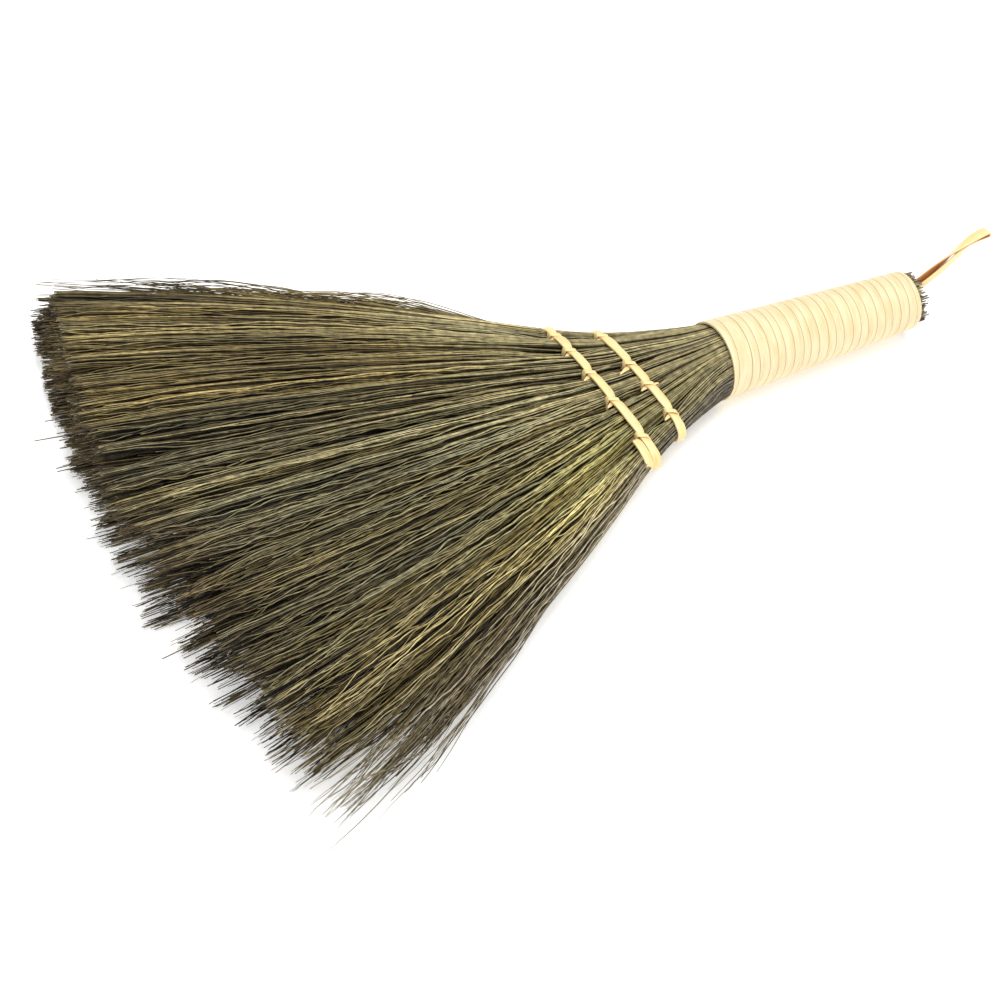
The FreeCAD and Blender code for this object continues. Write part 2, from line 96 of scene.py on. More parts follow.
neck_radius = (wrap_high.x - wrap_low.x) / 2 - WRAP_THICKNESS - SEAT
BUTT_RADIUS = 0.0082
row_reach = {}
row_half_width = {}
for row in ("inner", "outer"):
    band_low, band_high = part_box(row + "_row_band")
    row_reach[row] = front_y - (band_high.y - BAND_WIDTH / 2)
    row_half_width[row] = (band_high.x - band_low.x) / 2 - BAND_THICKNESS - SEAT
    row_half_thickness = (band_high.z - band_low.z) / 2 - BAND_THICKNESS - SEAT
outer_reach = row_reach["outer"]

# Bundles, cut at the same shares as in the frame
HANDLE_SPLITS = np.array([-1.0, -0.66, -0.32, 0.0, 0.32, 0.66, 1.0])
FAN_SPLITS = np.array([-1.0, -0.82, -0.55, -0.19, 0.22, 0.74, 1.0])
BUNDLE_COUNT = len(FAN_SPLITS) - 1
ROW_CUTS = {"inner": (1, 3, 4, 5), "outer": (1, 2, 3, 4, 5)}
SIDE_SWELL = 0.006
TIP_ARC_RADIUS = 0.294
tip_arc_setback = TIP_ARC_RADIUS - tip_reach
TUFT_COUNTS = np.array([2, 3, 4, 4, 5, 3])
FURROW_DEPTH = 0.0024
TIP_STEP = 0.003
TIP_STEP_SHARES = np.array([0.0, 0.5, 1.0, 0.0, 0.8, 0.0])

RIGHT = np.array([1.0, 0.0, 0.0])
BACK = np.array([0.0, 1.0, 0.0])
UP = np.array([0.0, 0.0, 1.0])
FULL_TURN = 2.0 * math.pi


def ease(low, high, value):
    """0 below low, 1 above high, and smooth between."""
    share = np.clip((value - low) / (high - low), 0.0, 1.0)
    return share * share * (3.0 - 2.0 * share)


def mix(low, high, share):
    """Value a share of the way from low to high."""
    return low + (high - low) * share


def bell(value, middle, width):
    """1 at the middle, and falling off to both sides."""
    return np.exp(-((value - middle) / width) ** 2)


def signed_power(value, power):
    """Power of a value's size, with the value's sign."""
    return np.sign(value) * np.abs(value) ** power


# Sections of the stalks and the brush
PROFILE_STEP = 0.0005
PROFILE_ROUNDING = 15
PROFILE_PAST_BUTT = 0.02
PROFILE_PAST_TIPS = 0.03
SECTION_POWERS = (2.0, 2.0, 2.6, 2.6, 3.3)
reaches = np.arange(front_y - butt_y - PROFILE_PAST_BUTT, tip_reach + PROFILE_PAST_TIPS, PROFILE_STEP)


def rounded(values):
    """Profile with its corners rounded by a moving average."""
    padded = np.pad(values, PROFILE_ROUNDING, mode="edge")
    kernel = np.ones(2 * PROFILE_ROUNDING + 1) / (2 * PROFILE_ROUNDING + 1)
    return np.convolve(padded, kernel, mode="valid")


section_reach = [front_y - butt_y, 0.0, row_reach["inner"], outer_reach, corner_reach]
section_widths = [BUTT_RADIUS, neck_radius, row_half_width["inner"], row_half_width["outer"]]
section_thicknesses = [BUTT_RADIUS, neck_radius, row_half_thickness, row_half_thickness, tip_half_thickness]
bound_widths = np.interp(reaches, section_reach[:4], section_widths)
opened = (reaches - outer_reach) / (corner_reach - outer_reach)
fan_widths = mix(row_half_width["outer"], tip_half_width, opened) + 4.0 * SIDE_SWELL * opened * (1.0 - opened)
profile_width = rounded(np.where(reaches > outer_reach, fan_widths, bound_widths))
profile_thickness = rounded(np.interp(reaches, section_reach, section_thicknesses))
profile_power = rounded(np.interp(reaches, section_reach, SECTION_POWERS))


def half_width(reach):
    """Half width of all the stalks at a reach."""
    return np.interp(reach, reaches, profile_width)


def rise(share, reach):
    """Height of the outline over the middle plane."""
    power = np.interp(reach, reaches, profile_power)
    inside = np.clip(1.0 - np.abs(share) ** power, 0.0, 1.0)
    return np.interp(reach, reaches, profile_thickness) * inside ** (1.0 / power)


# Creases where stitches pull the fan in, and grooves that run on from the outer row
CREASE_DEPTH = 0.5
CREASE_WIDTH_SHARE = 0.055
CREASE_LENGTHS = {"inner": (0.006, 0.006), "outer": (0.006, 0.015)}
GROOVE_DEPTH = 0.16
GROOVE_WIDTH_SHARE = 0.03
GROOVE_LENGTH = 0.05
STITCH_PUSH = 0.0009
PUSH_STEEPNESS = 3.0


def crease(share, reach):
    """Depth of the creases, as a share of the height, and how far they push stalks aside."""
    depth = np.zeros(np.broadcast(share, reach).shape)
    push = np.zeros_like(depth)
    for row, cuts in ROW_CUTS.items():
        past = reach - row_reach[row]
        before, after = CREASE_LENGTHS[row]
        along = bell(past, 0.0, np.where(past < 0.0, before, after))
        fading = np.exp(-np.maximum(past, 0.0) / GROOVE_LENGTH) * (past > 0.0)
        for cut in cuts:
            off = share - FAN_SPLITS[cut]
            near = bell(off, 0.0, CREASE_WIDTH_SHARE) * along
            depth = np.maximum(depth, CREASE_DEPTH * near)
            push += STITCH_PUSH * np.tanh(PUSH_STEEPNESS * (off / CREASE_WIDTH_SHARE)) * near
            if row == "outer":
                depth = np.maximum(depth, GROOVE_DEPTH * bell(off, 0.0, GROOVE_WIDTH_SHARE) * fading)
    return depth, push


BELOW_ONE = 0.9999


def bundle_of(share):
    """Index of the bundle that a share lies in."""
    return np.clip(np.searchsorted(FAN_SPLITS, share) - 1, 0, BUNDLE_COUNT - 1)


def tuft_place(share):
    """Number of a share's tuft, and the place across it from 0 to 1."""
    bundle = bundle_of(share)
    low, high = FAN_SPLITS[bundle], FAN_SPLITS[bundle + 1]
    place = np.clip((share - low) / (high - low), 0.0, BELOW_ONE) * TUFT_COUNTS[bundle]
    before = np.concatenate([[0], np.cumsum(TUFT_COUNTS)])[bundle]
    return before + np.floor(place).astype(int), place % 1.0


def furrow(share, reach):
    """Depth of the furrows between tufts, which deepen towards the tips."""
    grown = np.clip((reach - outer_reach) / (corner_reach - outer_reach), 0.0, 1.0)
    place = tuft_place(share)[1]
    return FURROW_DEPTH * grown * (1.0 - 4.0 * place * (1.0 - place))


# Meshes swept along many lines at once
def unit(vectors):
    """Vectors of length 1."""
    return vectors / np.maximum(np.linalg.norm(vectors, axis=-1, keepdims=True), 1e-12)


def run_along(points):
    """Length along a line up to each of its points."""
    return np.concatenate([[0.0], np.cumsum(np.linalg.norm(np.diff(points, axis=0), axis=1))])


def regular_outline(count):
    """Corners of a regular outline of radius 1."""
    turn = FULL_TURN * np.arange(count) / count
    return np.stack([np.cos(turn), np.sin(turn)], axis=1)


ATLAS_MARGIN = 0.04
ATLAS_SIDES = 0.84
ATLAS_CAP = 0.93
ATLAS_CAP_HEIGHTS = (0.3, 0.7)


def atlas(strands, segments, corners, chunk):
    """Unwrapped faces: a cell for each stretch of a strand, with its caps beside it."""
    chunks = -(-segments // chunk)
    cells = strands * chunks
    columns = math.ceil(math.sqrt(cells))
    rows = math.ceil(cells / columns)
    strand, segment, corner = np.meshgrid(
        np.arange(strands), np.arange(segments), np.arange(corners), indexing="ij")
    cell = strand * chunks + segment // chunk
    faces = []
    for along, around in ((0, 0), (0, 1), (1, 1), (1, 0)):
        u = (cell % columns + ATLAS_MARGIN + ATLAS_SIDES * (segment % chunk + along) / chunk) / columns
        v = (cell // columns + ATLAS_MARGIN + (1.0 - 2.0 * ATLAS_MARGIN) * (corner + around) / corners) / rows
        faces.append(np.stack([u, v], axis=-1))
    sides = np.stack(faces, axis=3).reshape(-1, 2)
    spread = regular_outline(corners) * ATLAS_MARGIN / np.array([columns, rows])
    caps = []
    for end, height in zip((0, segments - 1), ATLAS_CAP_HEIGHTS):
        cell = np.arange(strands) * chunks + end // chunk
        u = (cell % columns + ATLAS_CAP) / columns
        v = (cell // columns + height) / rows
        caps.append(np.stack([u, v], axis=-1)[:, None] + spread)
    return np.concatenate([sides, caps[0][:, ::-1].reshape(-1, 2), caps[1].reshape(-1, 2)])


def sweep(name, centres, sides, ups, outline, chunk, material, colour=None, place=None):
    """Closed tubes: an outline, spanned by sides and ups, swept along each line of centres."""
    strands, rings, _ = centres.shape
    corners = len(outline)
    points = (centres[:, :, None] + sides[:, :, None] * outline[:, :1] + ups[:, :, None] * outline[:, 1:])
    index = np.arange(strands * rings * corners).reshape(strands, rings, corners)
    after = np.roll(index, -1, axis=2)
    quads = np.stack([index[:, :-1], after[:, :-1], after[:, 1:], index[:, 1:]], axis=-1)
    loops = np.concatenate([quads.ravel(), index[:, 0, ::-1].ravel(), index[:, -1].ravel()])
    quad_count = quads.size // 4
    totals = np.concatenate([np.full(quad_count, 4), np.full(2 * strands, corners)])
    mesh = bpy.data.meshes.new(name)
    mesh.vertices.add(points.size // 3)
    mesh.vertices.foreach_set("co", points.astype(np.float32).ravel())
    mesh.loops.add(len(loops))
    mesh.loops.foreach_set("vertex_index", loops.astype(np.int32))
    mesh.polygons.add(len(totals))
    mesh.polygons.foreach_set("loop_start", (np.cumsum(totals) - totals).astype(np.int32))
    mesh.polygons.foreach_set("use_smooth", np.arange(len(totals)) < quad_count)
    mesh.update(calc_edges=True)
    layer = mesh.uv_layers.new(name="OFBake")
    layer.data.foreach_set("uv", atlas(strands, rings - 1, corners, chunk).astype(np.float32).ravel())
    if colour is not None:
        ring_colour = np.repeat(colour[:, :, None], corners, axis=2).reshape(-1, 3)
        rgba = np.pad(ring_colour, ((0, 0), (0, 1)), constant_values=1.0)
        attribute = mesh.attributes.new("strand_colour", "FLOAT_COLOR", "POINT")
        attribute.data.foreach_set("color", rgba.astype(np.float32).ravel())
    if place is not None:
        attribute = mesh.attributes.new("strip_place", "FLOAT_VECTOR", "POINT")
        attribute.data.foreach_set("vector", place.astype(np.float32).ravel())
    mesh.materials.append(material)
    piece = bpy.data.objects.new(name, mesh)
    link(piece)
    return piece


# Materials
def new_material(name):
    """Material, a function that adds a node to it, and one that sets or links its shader's inputs."""
    material = bpy.data.materials.new(name)
    material.use_nodes = True
    tree = material.node_tree

    def put(node, inputs):
        for key, value in inputs.items():
            if isinstance(value, bpy.types.NodeSocket):
                tree.links.new(value, node.inputs[key])
            else:
                node.inputs[key].default_value = value

    def add(kind, inputs=None, **settings):
        node = tree.nodes.new(kind)
        for key, value in settings.items():
            setattr(node, key, value)
        put(node, inputs or {})
        return node

    def dress(inputs):
        put(tree.nodes["Principled BSDF"], inputs)

    return material, add, dress


def ramp(add, value, stops):
    """Colours that follow a value."""
    node = add("ShaderNodeValToRGB", {"Fac": value})
    elements = node.color_ramp.elements
    while len(elements) < len(stops):
        elements.new(0.5)
    for element, (position, colour) in zip(elements, stops):
        element.position = position
        element.color = (*colour, 1.0)
    return node.outputs["Color"]


def ranged(add, value, low=0.0, high=1.0, to_low=0.0, to_high=1.0):
    """Value carried over from one range to another."""
    inputs = {"Value": value, "From Min": low, "From Max": high, "To Min": to_low, "To Max": to_high}
    return add("ShaderNodeMapRange", inputs).outputs["Result"]


def mixed(add, factor, first, second, kind="MIX"):
    """Two colours, mixed or multiplied."""
    inputs = {"Factor": factor, "A": first, "B": second}
    return add("ShaderNodeMix", inputs, data_type="RGBA", blend_type=kind).outputs["Result"]


def noise(add, place, scale, detail, roughness=0.5):
    """Cloudy values by place."""
    inputs = {"Vector": place, "Scale": scale, "Detail": detail, "Roughness": roughness}
    return add("ShaderNodeTexNoise", inputs).outputs["Fac"]


def stretched(add, place, amounts):
    """Place with its three parts multiplied."""
    return add("ShaderNodeVectorMath", {0: place, 1: amounts}, operation="MULTIPLY").outputs["Vector"]


def maths(add, operation, *values):
    """Result of an operation on values."""
    return add("ShaderNodeMath", dict(enumerate(values)), operation=operation).outputs["Value"]


def bump(add, height, strength, distance):
    """Normals of fine relief."""
    inputs = {"Height": height, "Strength": strength, "Distance": distance}
    return add("ShaderNodeBump", inputs).outputs["Normal"]


FLECK_STOPS = ((0.3, (0.62, 0.6, 0.55)), (0.7, (1.25, 1.22, 1.15)))
ROUGHNESS_SPREAD = 0.12


def strand_material(name, roughness):
    """Dry grass: each strand has its own colour and fine flecks, with painted shade on flanks that face
    sideways.
    """
    material, add, dress = new_material(name)
    own = add("ShaderNodeAttribute", attribute_name="strand_colour").outputs["Color"]
    flecks = noise(add, add("ShaderNodeTexCoord").outputs["Object"], scale=500.0, detail=1.0)
    flecked = mixed(add, 1.0, own, ramp(add, flecks, FLECK_STOPS), "MULTIPLY")
    # Painted shade: strand sides darken as their normals turn away from up or down, and faces turned up or
    # down get a little painted light.
    facing = add("ShaderNodeNewGeometry").outputs["Normal"]
    parts = add("ShaderNodeSeparateXYZ", {"Vector": facing})
    level = maths(add, "ABSOLUTE", parts.outputs["Z"])
    painted_flank_shade = ranged(add, level, low=0.1, high=0.85, to_low=0.4, to_high=1.12)
    dress({
        "Base Color": mixed(add, 1.0, flecked, painted_flank_shade, "MULTIPLY"),
        "Normal": bump(add, flecks, strength=0.2, distance=0.0001),
        "Roughness": ranged(
            add, flecks, to_low=roughness - ROUGHNESS_SPREAD, to_high=roughness + ROUGHNESS_SPREAD),
        "Specular IOR Level": 0.35,
    })
    return material


BLOTCH_STOPS = ((0.3, (0.9, 0.86, 0.76)), (0.6, (1.0, 1.0, 1.0)))
PALE_GRAIN = 1.06
DULL_GRAIN = (0.86, 0.8, 0.68)


def strip_material(name, outer, inner, edge, roughness):
    """Pale split strip with grain along it, another colour at its edges and on its inner face; on the wrap
    the edge colour is painted seam shadow, and on the loop the inner colour is partly painted shade.
    """
    material, add, dress = new_material(name)
    place = add("ShaderNodeAttribute", attribute_name="strip_place").outputs["Vector"]
    parts = add("ShaderNodeSeparateXYZ", {"Vector": place})
    grain = noise(add, stretched(add, place, (90.0, 3.0, 1.0)), scale=1.6, detail=5.0, roughness=0.6)
    blotches = noise(add, stretched(add, place, (60.0, 0.4, 0.5)), scale=2.0, detail=2.0)
    dull, pale = np.multiply(outer, DULL_GRAIN), np.multiply(outer, PALE_GRAIN)
    base = ramp(add, grain, ((0.28, dull), (0.5, outer), (0.75, pale)))
    patched = mixed(add, 1.0, base, ramp(add, blotches, BLOTCH_STOPS), "MULTIPLY")
    # Edge colour at the strip's edges, patchy: on the wrap it is a painted shadow line along the seams
    # between turns.
    brim = ranged(add, maths(add, "ABSOLUTE", parts.outputs["Y"]), low=0.9)
    edge_tint_and_seam_shadow = maths(add, "MULTIPLY", brim, blotches)
    edged = mixed(add, edge_tint_and_seam_shadow, patched, (*edge, 1.0))
    # The inner-face colour fills the face turned inward; on the loop it carries painted shade.
    under = ranged(add, parts.outputs["Z"], high=-0.4)
    dress({
        "Base Color": mixed(add, under, edged, (*inner, 1.0)),
        "Normal": bump(add, grain, strength=0.35, distance=0.0002),
        "Roughness": ranged(add, grain, to_low=roughness + 0.1, to_high=roughness - 0.08),
    })
    return material


def cord_material():
    """Twisted natural cord: slanting dark lines between pale plies."""
    material, add, dress = new_material("cord_material")
    inputs = {"Vector": add("ShaderNodeTexCoord").outputs["Object"], "Scale": 380.0, "Distortion": 1.5}
    plies = add("ShaderNodeTexWave", inputs, bands_direction="DIAGONAL").outputs["Fac"]
    dress({
        "Base Color": ramp(add, plies, ((0.15, (0.16, 0.11, 0.06)), (0.7, (0.45, 0.35, 0.21)))),
        "Normal": bump(add, plies, strength=0.6, distance=0.0002),
        "Roughness": 0.85,
    })
    return material


CREAM = (0.84, 0.65, 0.33)
WRAP_CREAM = (0.74, 0.62, 0.39)
SEAM_SHADOW_BROWN = (0.2, 0.11, 0.045)
BAND_EDGE = (0.5, 0.3, 0.12)
# Loop's inner face colour: partly painted shade and a painted warm reflection, partly the strip's darker
# inner side.
LOOP_INNER_TONE_AND_SHADE = (0.42, 0.17, 0.05)
LOOP_EDGE = (0.8, 0.55, 0.28)
stalk_look = strand_material("stalk_material", roughness=0.62)
fibre_look = strand_material("fibre_material", roughness=0.58)
wrap_look = strip_material("wrap_material", WRAP_CREAM, WRAP_CREAM, SEAM_SHADOW_BROWN, roughness=0.42)
band_look = strip_material("band_material", CREAM, CREAM, BAND_EDGE, roughness=0.4)
loop_look = strip_material("loop_material", CREAM, LOOP_INNER_TONE_AND_SHADE, LOOP_EDGE, roughness=0.36)
cord_look = cord_material()

# Colours of the strands
GOLDEN = np.array([0.325, 0.275, 0.128])
KHAKI = np.array([0.238, 0.21, 0.112])
GREY_OLIVE = np.array([0.15, 0.147, 0.092])
DARK_BROWN = np.array([0.05, 0.04, 0.025])
STRAW = np.array([0.4, 0.345, 0.185])
GREEN = np.array([0.24, 0.235, 0.06])
TIP_BROWN = np.array([0.085, 0.06, 0.032])
PALE_CUT = np.array([0.3, 0.26, 0.18])
RUST = np.array([0.21, 0.12, 0.055])
WARM_TINT = np.array([0.98, 0.92, 0.79])
PAINTED_SHADE_TINT = np.array([1.17, 1.0, 0.55])
GREY_AND_SHADE_TINT = np.array([0.864, 0.768, 0.704])

# Tones of the patches by share, and waves of tone: rates across and along, and strength
HANDLE_TONE = 0.55
PATCH_REACHES = (0.03, 0.09)
PATCH_SHARES = (-1.0, -0.9, -0.65, -0.38, -0.25, -0.05, 0.18, 0.38, 0.55, 0.75, 0.86, 0.96)
PATCH_TONES = (0.4, 0.5, 0.72, 0.68, 0.3, 0.34, 0.16, 0.42, 0.24, 0.72, 0.7, 0.4)
TONE_WAVES = ((2.7, -3.0, 0.09), (5.1, 4.0, 0.12), (8.3, -6.0, 0.1), (13.0, 5.0, 0.06))
tone_phases = rng.uniform(0.0, FULL_TURN, len(TONE_WAVES))


def patch_tone(share, reach):
    """Tone of the patches that run along the fan: about 0.5, higher where the strands are paler."""
    tone = mix(HANDLE_TONE, np.interp(share, PATCH_SHARES, PATCH_TONES), ease(*PATCH_REACHES, reach))
    for (across, along, amount), phase in zip(TONE_WAVES, tone_phases):
        tone = tone + amount * np.sin(FULL_TURN * (across * share + along * reach) + phase)
    return tone


# Painted shade of the gaps between strands, by depth under the surface
LIT_DEPTH = 0.0004
SHADED_DEPTH = 0.0018
DEEP_SHADE = 0.055
SHADE_CURVE = 0.7
GAP_LEVELS = (0.55, 0.9)
GAP_REACHES = (0.05, 0.12)
CONTRASTS = (1.0, 1.5)
CONTRAST_SHARES = (-0.4, 0.3)
RIM_CONTRAST_LOSS = 0.4
RIM_CONTRAST_SHARES = (0.65, 0.85)


def shade_at(depth, share, reach):
    """Painted shade by depth: gaps are darker towards the tips and past the middle to +X."""
    depth = depth * mix(*GAP_LEVELS, ease(*GAP_REACHES, reach))
    shaded = np.clip((depth - LIT_DEPTH) / (SHADED_DEPTH - LIT_DEPTH), 0.0, 1.0) ** SHADE_CURVE
    contrast = mix(*CONTRASTS, ease(*CONTRAST_SHARES, share))
    contrast = contrast - RIM_CONTRAST_LOSS * ease(*RIM_CONTRAST_SHARES, share)
    return mix(1.0, DEEP_SHADE, shaded) ** contrast


# Brightness by place
LIGHT_SHARES = (-1.0, -0.85, -0.6, -0.35, 0.0, 0.4, 0.7, 1.0)
LIGHT_LEVELS = (1.4, 1.15, 0.84, 0.92, 1.5, 1.24, 1.62, 1.65)
HANDLE_LIGHT = 1.08
FAN_LIGHT_REACHES = (0.03, 0.06)
PAST_ROWS_GAIN = 0.28
PAST_ROWS = (0.07, 0.03)
UPPER_TIPS_GAIN = 0.4
UPPER_TIPS_REACHES = (0.12, 0.17)
UPPER_TIPS_SHARES = (0.3, 0.5)


def brightness(share, reach):
    """Brightness factor by place: less at the handle, more past the rows and at the tips towards -X."""
    past_rows = 1.0 + PAST_ROWS_GAIN * bell(reach, *PAST_ROWS)
    upper_tips = ease(*UPPER_TIPS_REACHES, reach) * ease(*UPPER_TIPS_SHARES, -share)
    level = np.interp(share, LIGHT_SHARES, LIGHT_LEVELS) * past_rows * (1.0 + UPPER_TIPS_GAIN * upper_tips)
    return mix(HANDLE_LIGHT, level, ease(*FAN_LIGHT_REACHES, reach))


# Differences between strands, and places where the colours change
OWN_TONE_SPREAD = 0.13
OWN_LIGHT_SPREAD = 0.18
STRAW_PICK = 0.985
DARK_PICK = 0.06
GREY_AMOUNT = 0.7
GREY_SHARES = (0.8, 0.98)
GREEN_AMOUNT = 0.4
GREEN_ACROSS = (0.6, 0.25)
GREEN_ALONG = (0.06, 0.035)
WARM_SHARES = (0.1, 0.4)
WARM_REACHES = (0.06, 0.1)
DEEP_SHADES = (0.1, 0.9)
RIM_SHADE_LIGHT = 0.5
RIM_SHADE_WIDTH, RIM_SHADE_FADE = 0.21, 0.05
RIM_SHADE_REACHES = (0.09, 0.18)
RUST_AMOUNT = 0.45
RUST_ACROSS = (0.2, 0.22)
RUST_ENDS = (-0.022, -0.004)
CUT_LENGTH = 0.0016
CUT_SPREAD = 0.5
PALE_CUT_PICK = 0.8


def strand_colours(share, reach, shade, last, end_dark):
    """Colours along strands: patches, a tone and a painted shade for each strand, painted shade at both rims,
    and darker cut ends.
    """
    strands = len(share)
    own = rng.normal(0.0, OWN_TONE_SPREAD, (strands, 1))
    tone = np.clip(patch_tone(share, reach) + own, 0.0, 1.0)[..., None]
    colour = np.where(tone > 0.5, mix(KHAKI, GOLDEN, 2.0 * tone - 1.0), mix(GREY_OLIVE, KHAKI, 2.0 * tone))
    pick = rng.uniform(size=(strands, 1, 1))
    colour = np.where(pick > STRAW_PICK, STRAW, colour)
    colour = np.where(pick < DARK_PICK, DARK_BROWN, colour)
    colour = colour * np.exp(rng.normal(0.0, OWN_LIGHT_SPREAD, (strands, 1, 1)))
    # Strands towards the +X rim turn greyer and darker: partly their own grey colour, partly painted shade of
    # the fan's side face.
    greyed_and_shaded = GREY_AMOUNT * ease(*GREY_SHARES, share)
    colour = mix(colour, colour.mean(axis=-1, keepdims=True) * GREY_AND_SHADE_TINT, greyed_and_shaded[..., None])
    green = bell(share, *GREEN_ACROSS) * bell(reach, *GREEN_ALONG)
    colour = mix(colour, GREEN * (0.5 + tone), GREEN_AMOUNT * green[..., None])
    warm = ease(*WARM_SHARES, -share) * ease(*WARM_REACHES, reach)
    colour = colour * mix(1.0, WARM_TINT, warm[..., None])
    # Painted shade is tinted warmer brown where it is deep.
    colour = colour * mix(PAINTED_SHADE_TINT, 1.0, ease(*DEEP_SHADES, shade)[..., None])
    # Painted shade: a strip along the -X rim, widening towards the tips, at half brightness.
    rim_shade_width = RIM_SHADE_WIDTH * ease(*RIM_SHADE_REACHES, reach)
    painted_rim_shade = ease(0.0, RIM_SHADE_FADE, rim_shade_width - 1.0 - share)
    colour = colour * (shade * brightness(share, reach) * mix(1.0, RIM_SHADE_LIGHT, painted_rim_shade))[..., None]
    rusty = bell(share, *RUST_ACROSS) * ease(*RUST_ENDS, reach - last)
    colour = mix(colour, RUST * shade[..., None], RUST_AMOUNT * rusty[..., None])
    # Cut ends turn dark brown: partly their own cut colour, partly painted shade of the tips' end face.
    ends = ease(-CUT_LENGTH, 0.0, reach - last)[..., None]
    cut = np.where(pick > PALE_CUT_PICK, PALE_CUT, TIP_BROWN)
    cut = cut * np.exp(rng.normal(0.0, CUT_SPREAD, (strands, 1, 1)))
    return mix(colour, cut, end_dark * ends)


# Strands
OPENED_AT = 0.9
TRIM_ROUNDS = 4


def fan_share(share, reach):
    """Share at a reach: bundles run evenly through the handle, and unevenly in the fan."""
    opened = ease(0.0, row_reach["inner"] * OPENED_AT, reach)
    return mix(np.interp(share, FAN_SPLITS, HANDLE_SPLITS), share, opened)


def trimmed_reach(share):
    """Reach where a strand meets the arc of the tips of its bundle."""
    radius = TIP_ARC_RADIUS - TIP_STEP * TIP_STEP_SHARES[bundle_of(share)]
    reach = np.full_like(share, corner_reach)
    for _ in range(TRIM_ROUNDS):
        across = np.abs(share) * half_width(reach)
        reach = np.sqrt(radius ** 2 - across ** 2) - tip_arc_setback
    return reach


# Locks draw together along the fan and clumps at the tips, and tufts differ in length
LOCK_COUNT = 150
LOCK_START = 0.07
LOCK_PULL = 0.28
LOCK_LENGTH_SPREAD = 0.0012
LOCK_TURN_SPREAD = 0.014
lock_shares = np.sort(rng.uniform(-1.0, 1.0, LOCK_COUNT))
lock_pulls = rng.uniform(0.0, LOCK_PULL, LOCK_COUNT)
lock_lengths = rng.normal(0.0, LOCK_LENGTH_SPREAD, LOCK_COUNT)
lock_turns = rng.normal(0.0, LOCK_TURN_SPREAD, LOCK_COUNT)
CLUMP_COUNT = 58
CLUMP_REACH = 0.03
CLUMP_PULLS = (0.4, 0.95)
CLUMP_LEAST = 0.2
CLUMP_SHARES = (-0.75, 0.1)
clump_shares = np.sort(rng.uniform(-1.0, 1.0, CLUMP_COUNT))
clump_pulls = rng.uniform(*CLUMP_PULLS, CLUMP_COUNT)
clump_pulls = clump_pulls * mix(CLUMP_LEAST, 1.0, ease(*CLUMP_SHARES, clump_shares))
TUFT_LENGTHS = (-0.0004, 0.0011)
tuft_lengths = rng.normal(*TUFT_LENGTHS, TUFT_COUNTS.sum())
LEAST_LOOSENESS = 0.25
LOOSE_SHARES = (-0.75, -0.25)
CUT_SLANT = 0.0025
SLANT_SHARES = (-0.75, -0.2)
CORNER_TRIM = 0.002
CORNER_SHARES = (0.9, 1.0)


def nearest(places, share):
    """Index of the place nearest to each share."""
    return np.abs(share[:, None] - places).argmin(axis=1)


def looseness(share):
    """How loosely the tips end: cleanly cut at the -X rim, and frayed from the middle to the +X rim."""
    return mix(LEAST_LOOSENESS, 1.0, ease(*LOOSE_SHARES, share))


def ragged_reach(share, level, scatter):
    """Reach of the cut tips, which end unevenly; towards the -X rim the lower strands stand out most."""
    uneven = tuft_lengths[tuft_place(share)[0]] + lock_lengths[nearest(lock_shares, share)]
    uneven = uneven + rng.normal(0.0, scatter, len(share))
    uneven = looseness(share) * uneven - CUT_SLANT * level * (1.0 - ease(*SLANT_SHARES, share))
    return trimmed_reach(share) + uneven - CORNER_TRIM * ease(*CORNER_SHARES, -share)


# How strands wander: each kink has a length and a size
KINKS = ((0.064, 0.7), (0.033, 0.5), (0.017, 0.3), (0.0085, 0.17))
KINK_LENGTHS = (0.75, 1.3)
KINK_SIZES = (0.2, 1.0)
POINTS_PER_KINK = 4
BOUND_SWAY = 0.4
SIDE_SWAYS = (0.65, 1.1)
SWAY_SHARES = (-0.5, 0.5)
FREE_LENGTH = 0.012
LIFT_SHARE = 0.5
LIFT_HEIGHT = 0.006
TURN_START = 0.004
TURN_LENGTH = 0.2
OWN_TURN_SPREAD = 0.013
LATE_START = 0.012
EMERGING_LENGTH = 0.045
EMERGING_DEPTH = 0.0025
SKIN = 0.0004
RIM_SHARE = 0.997
LEAST_HEIGHT = 0.0002
DEEPEST = 0.97
CORNER_FLARE = 0.0055
FLARE_SHARES = (0.55, 1.0)
FLARE_START = 0.09
FLOOR_GAP = 0.0003
LAST_RING_BUT_ONE = 0.994


def zigzag(turn):
    """Wave with straight runs between its bends."""
    return np.arcsin(np.sin(turn)) * 2.0 / math.pi


def ring_places(rings):
    """Places of the rings along a strand, the last two close together at the cut end."""
    return np.append(np.linspace(0.0, LAST_RING_BUT_ONE, rings - 1), 1.0)


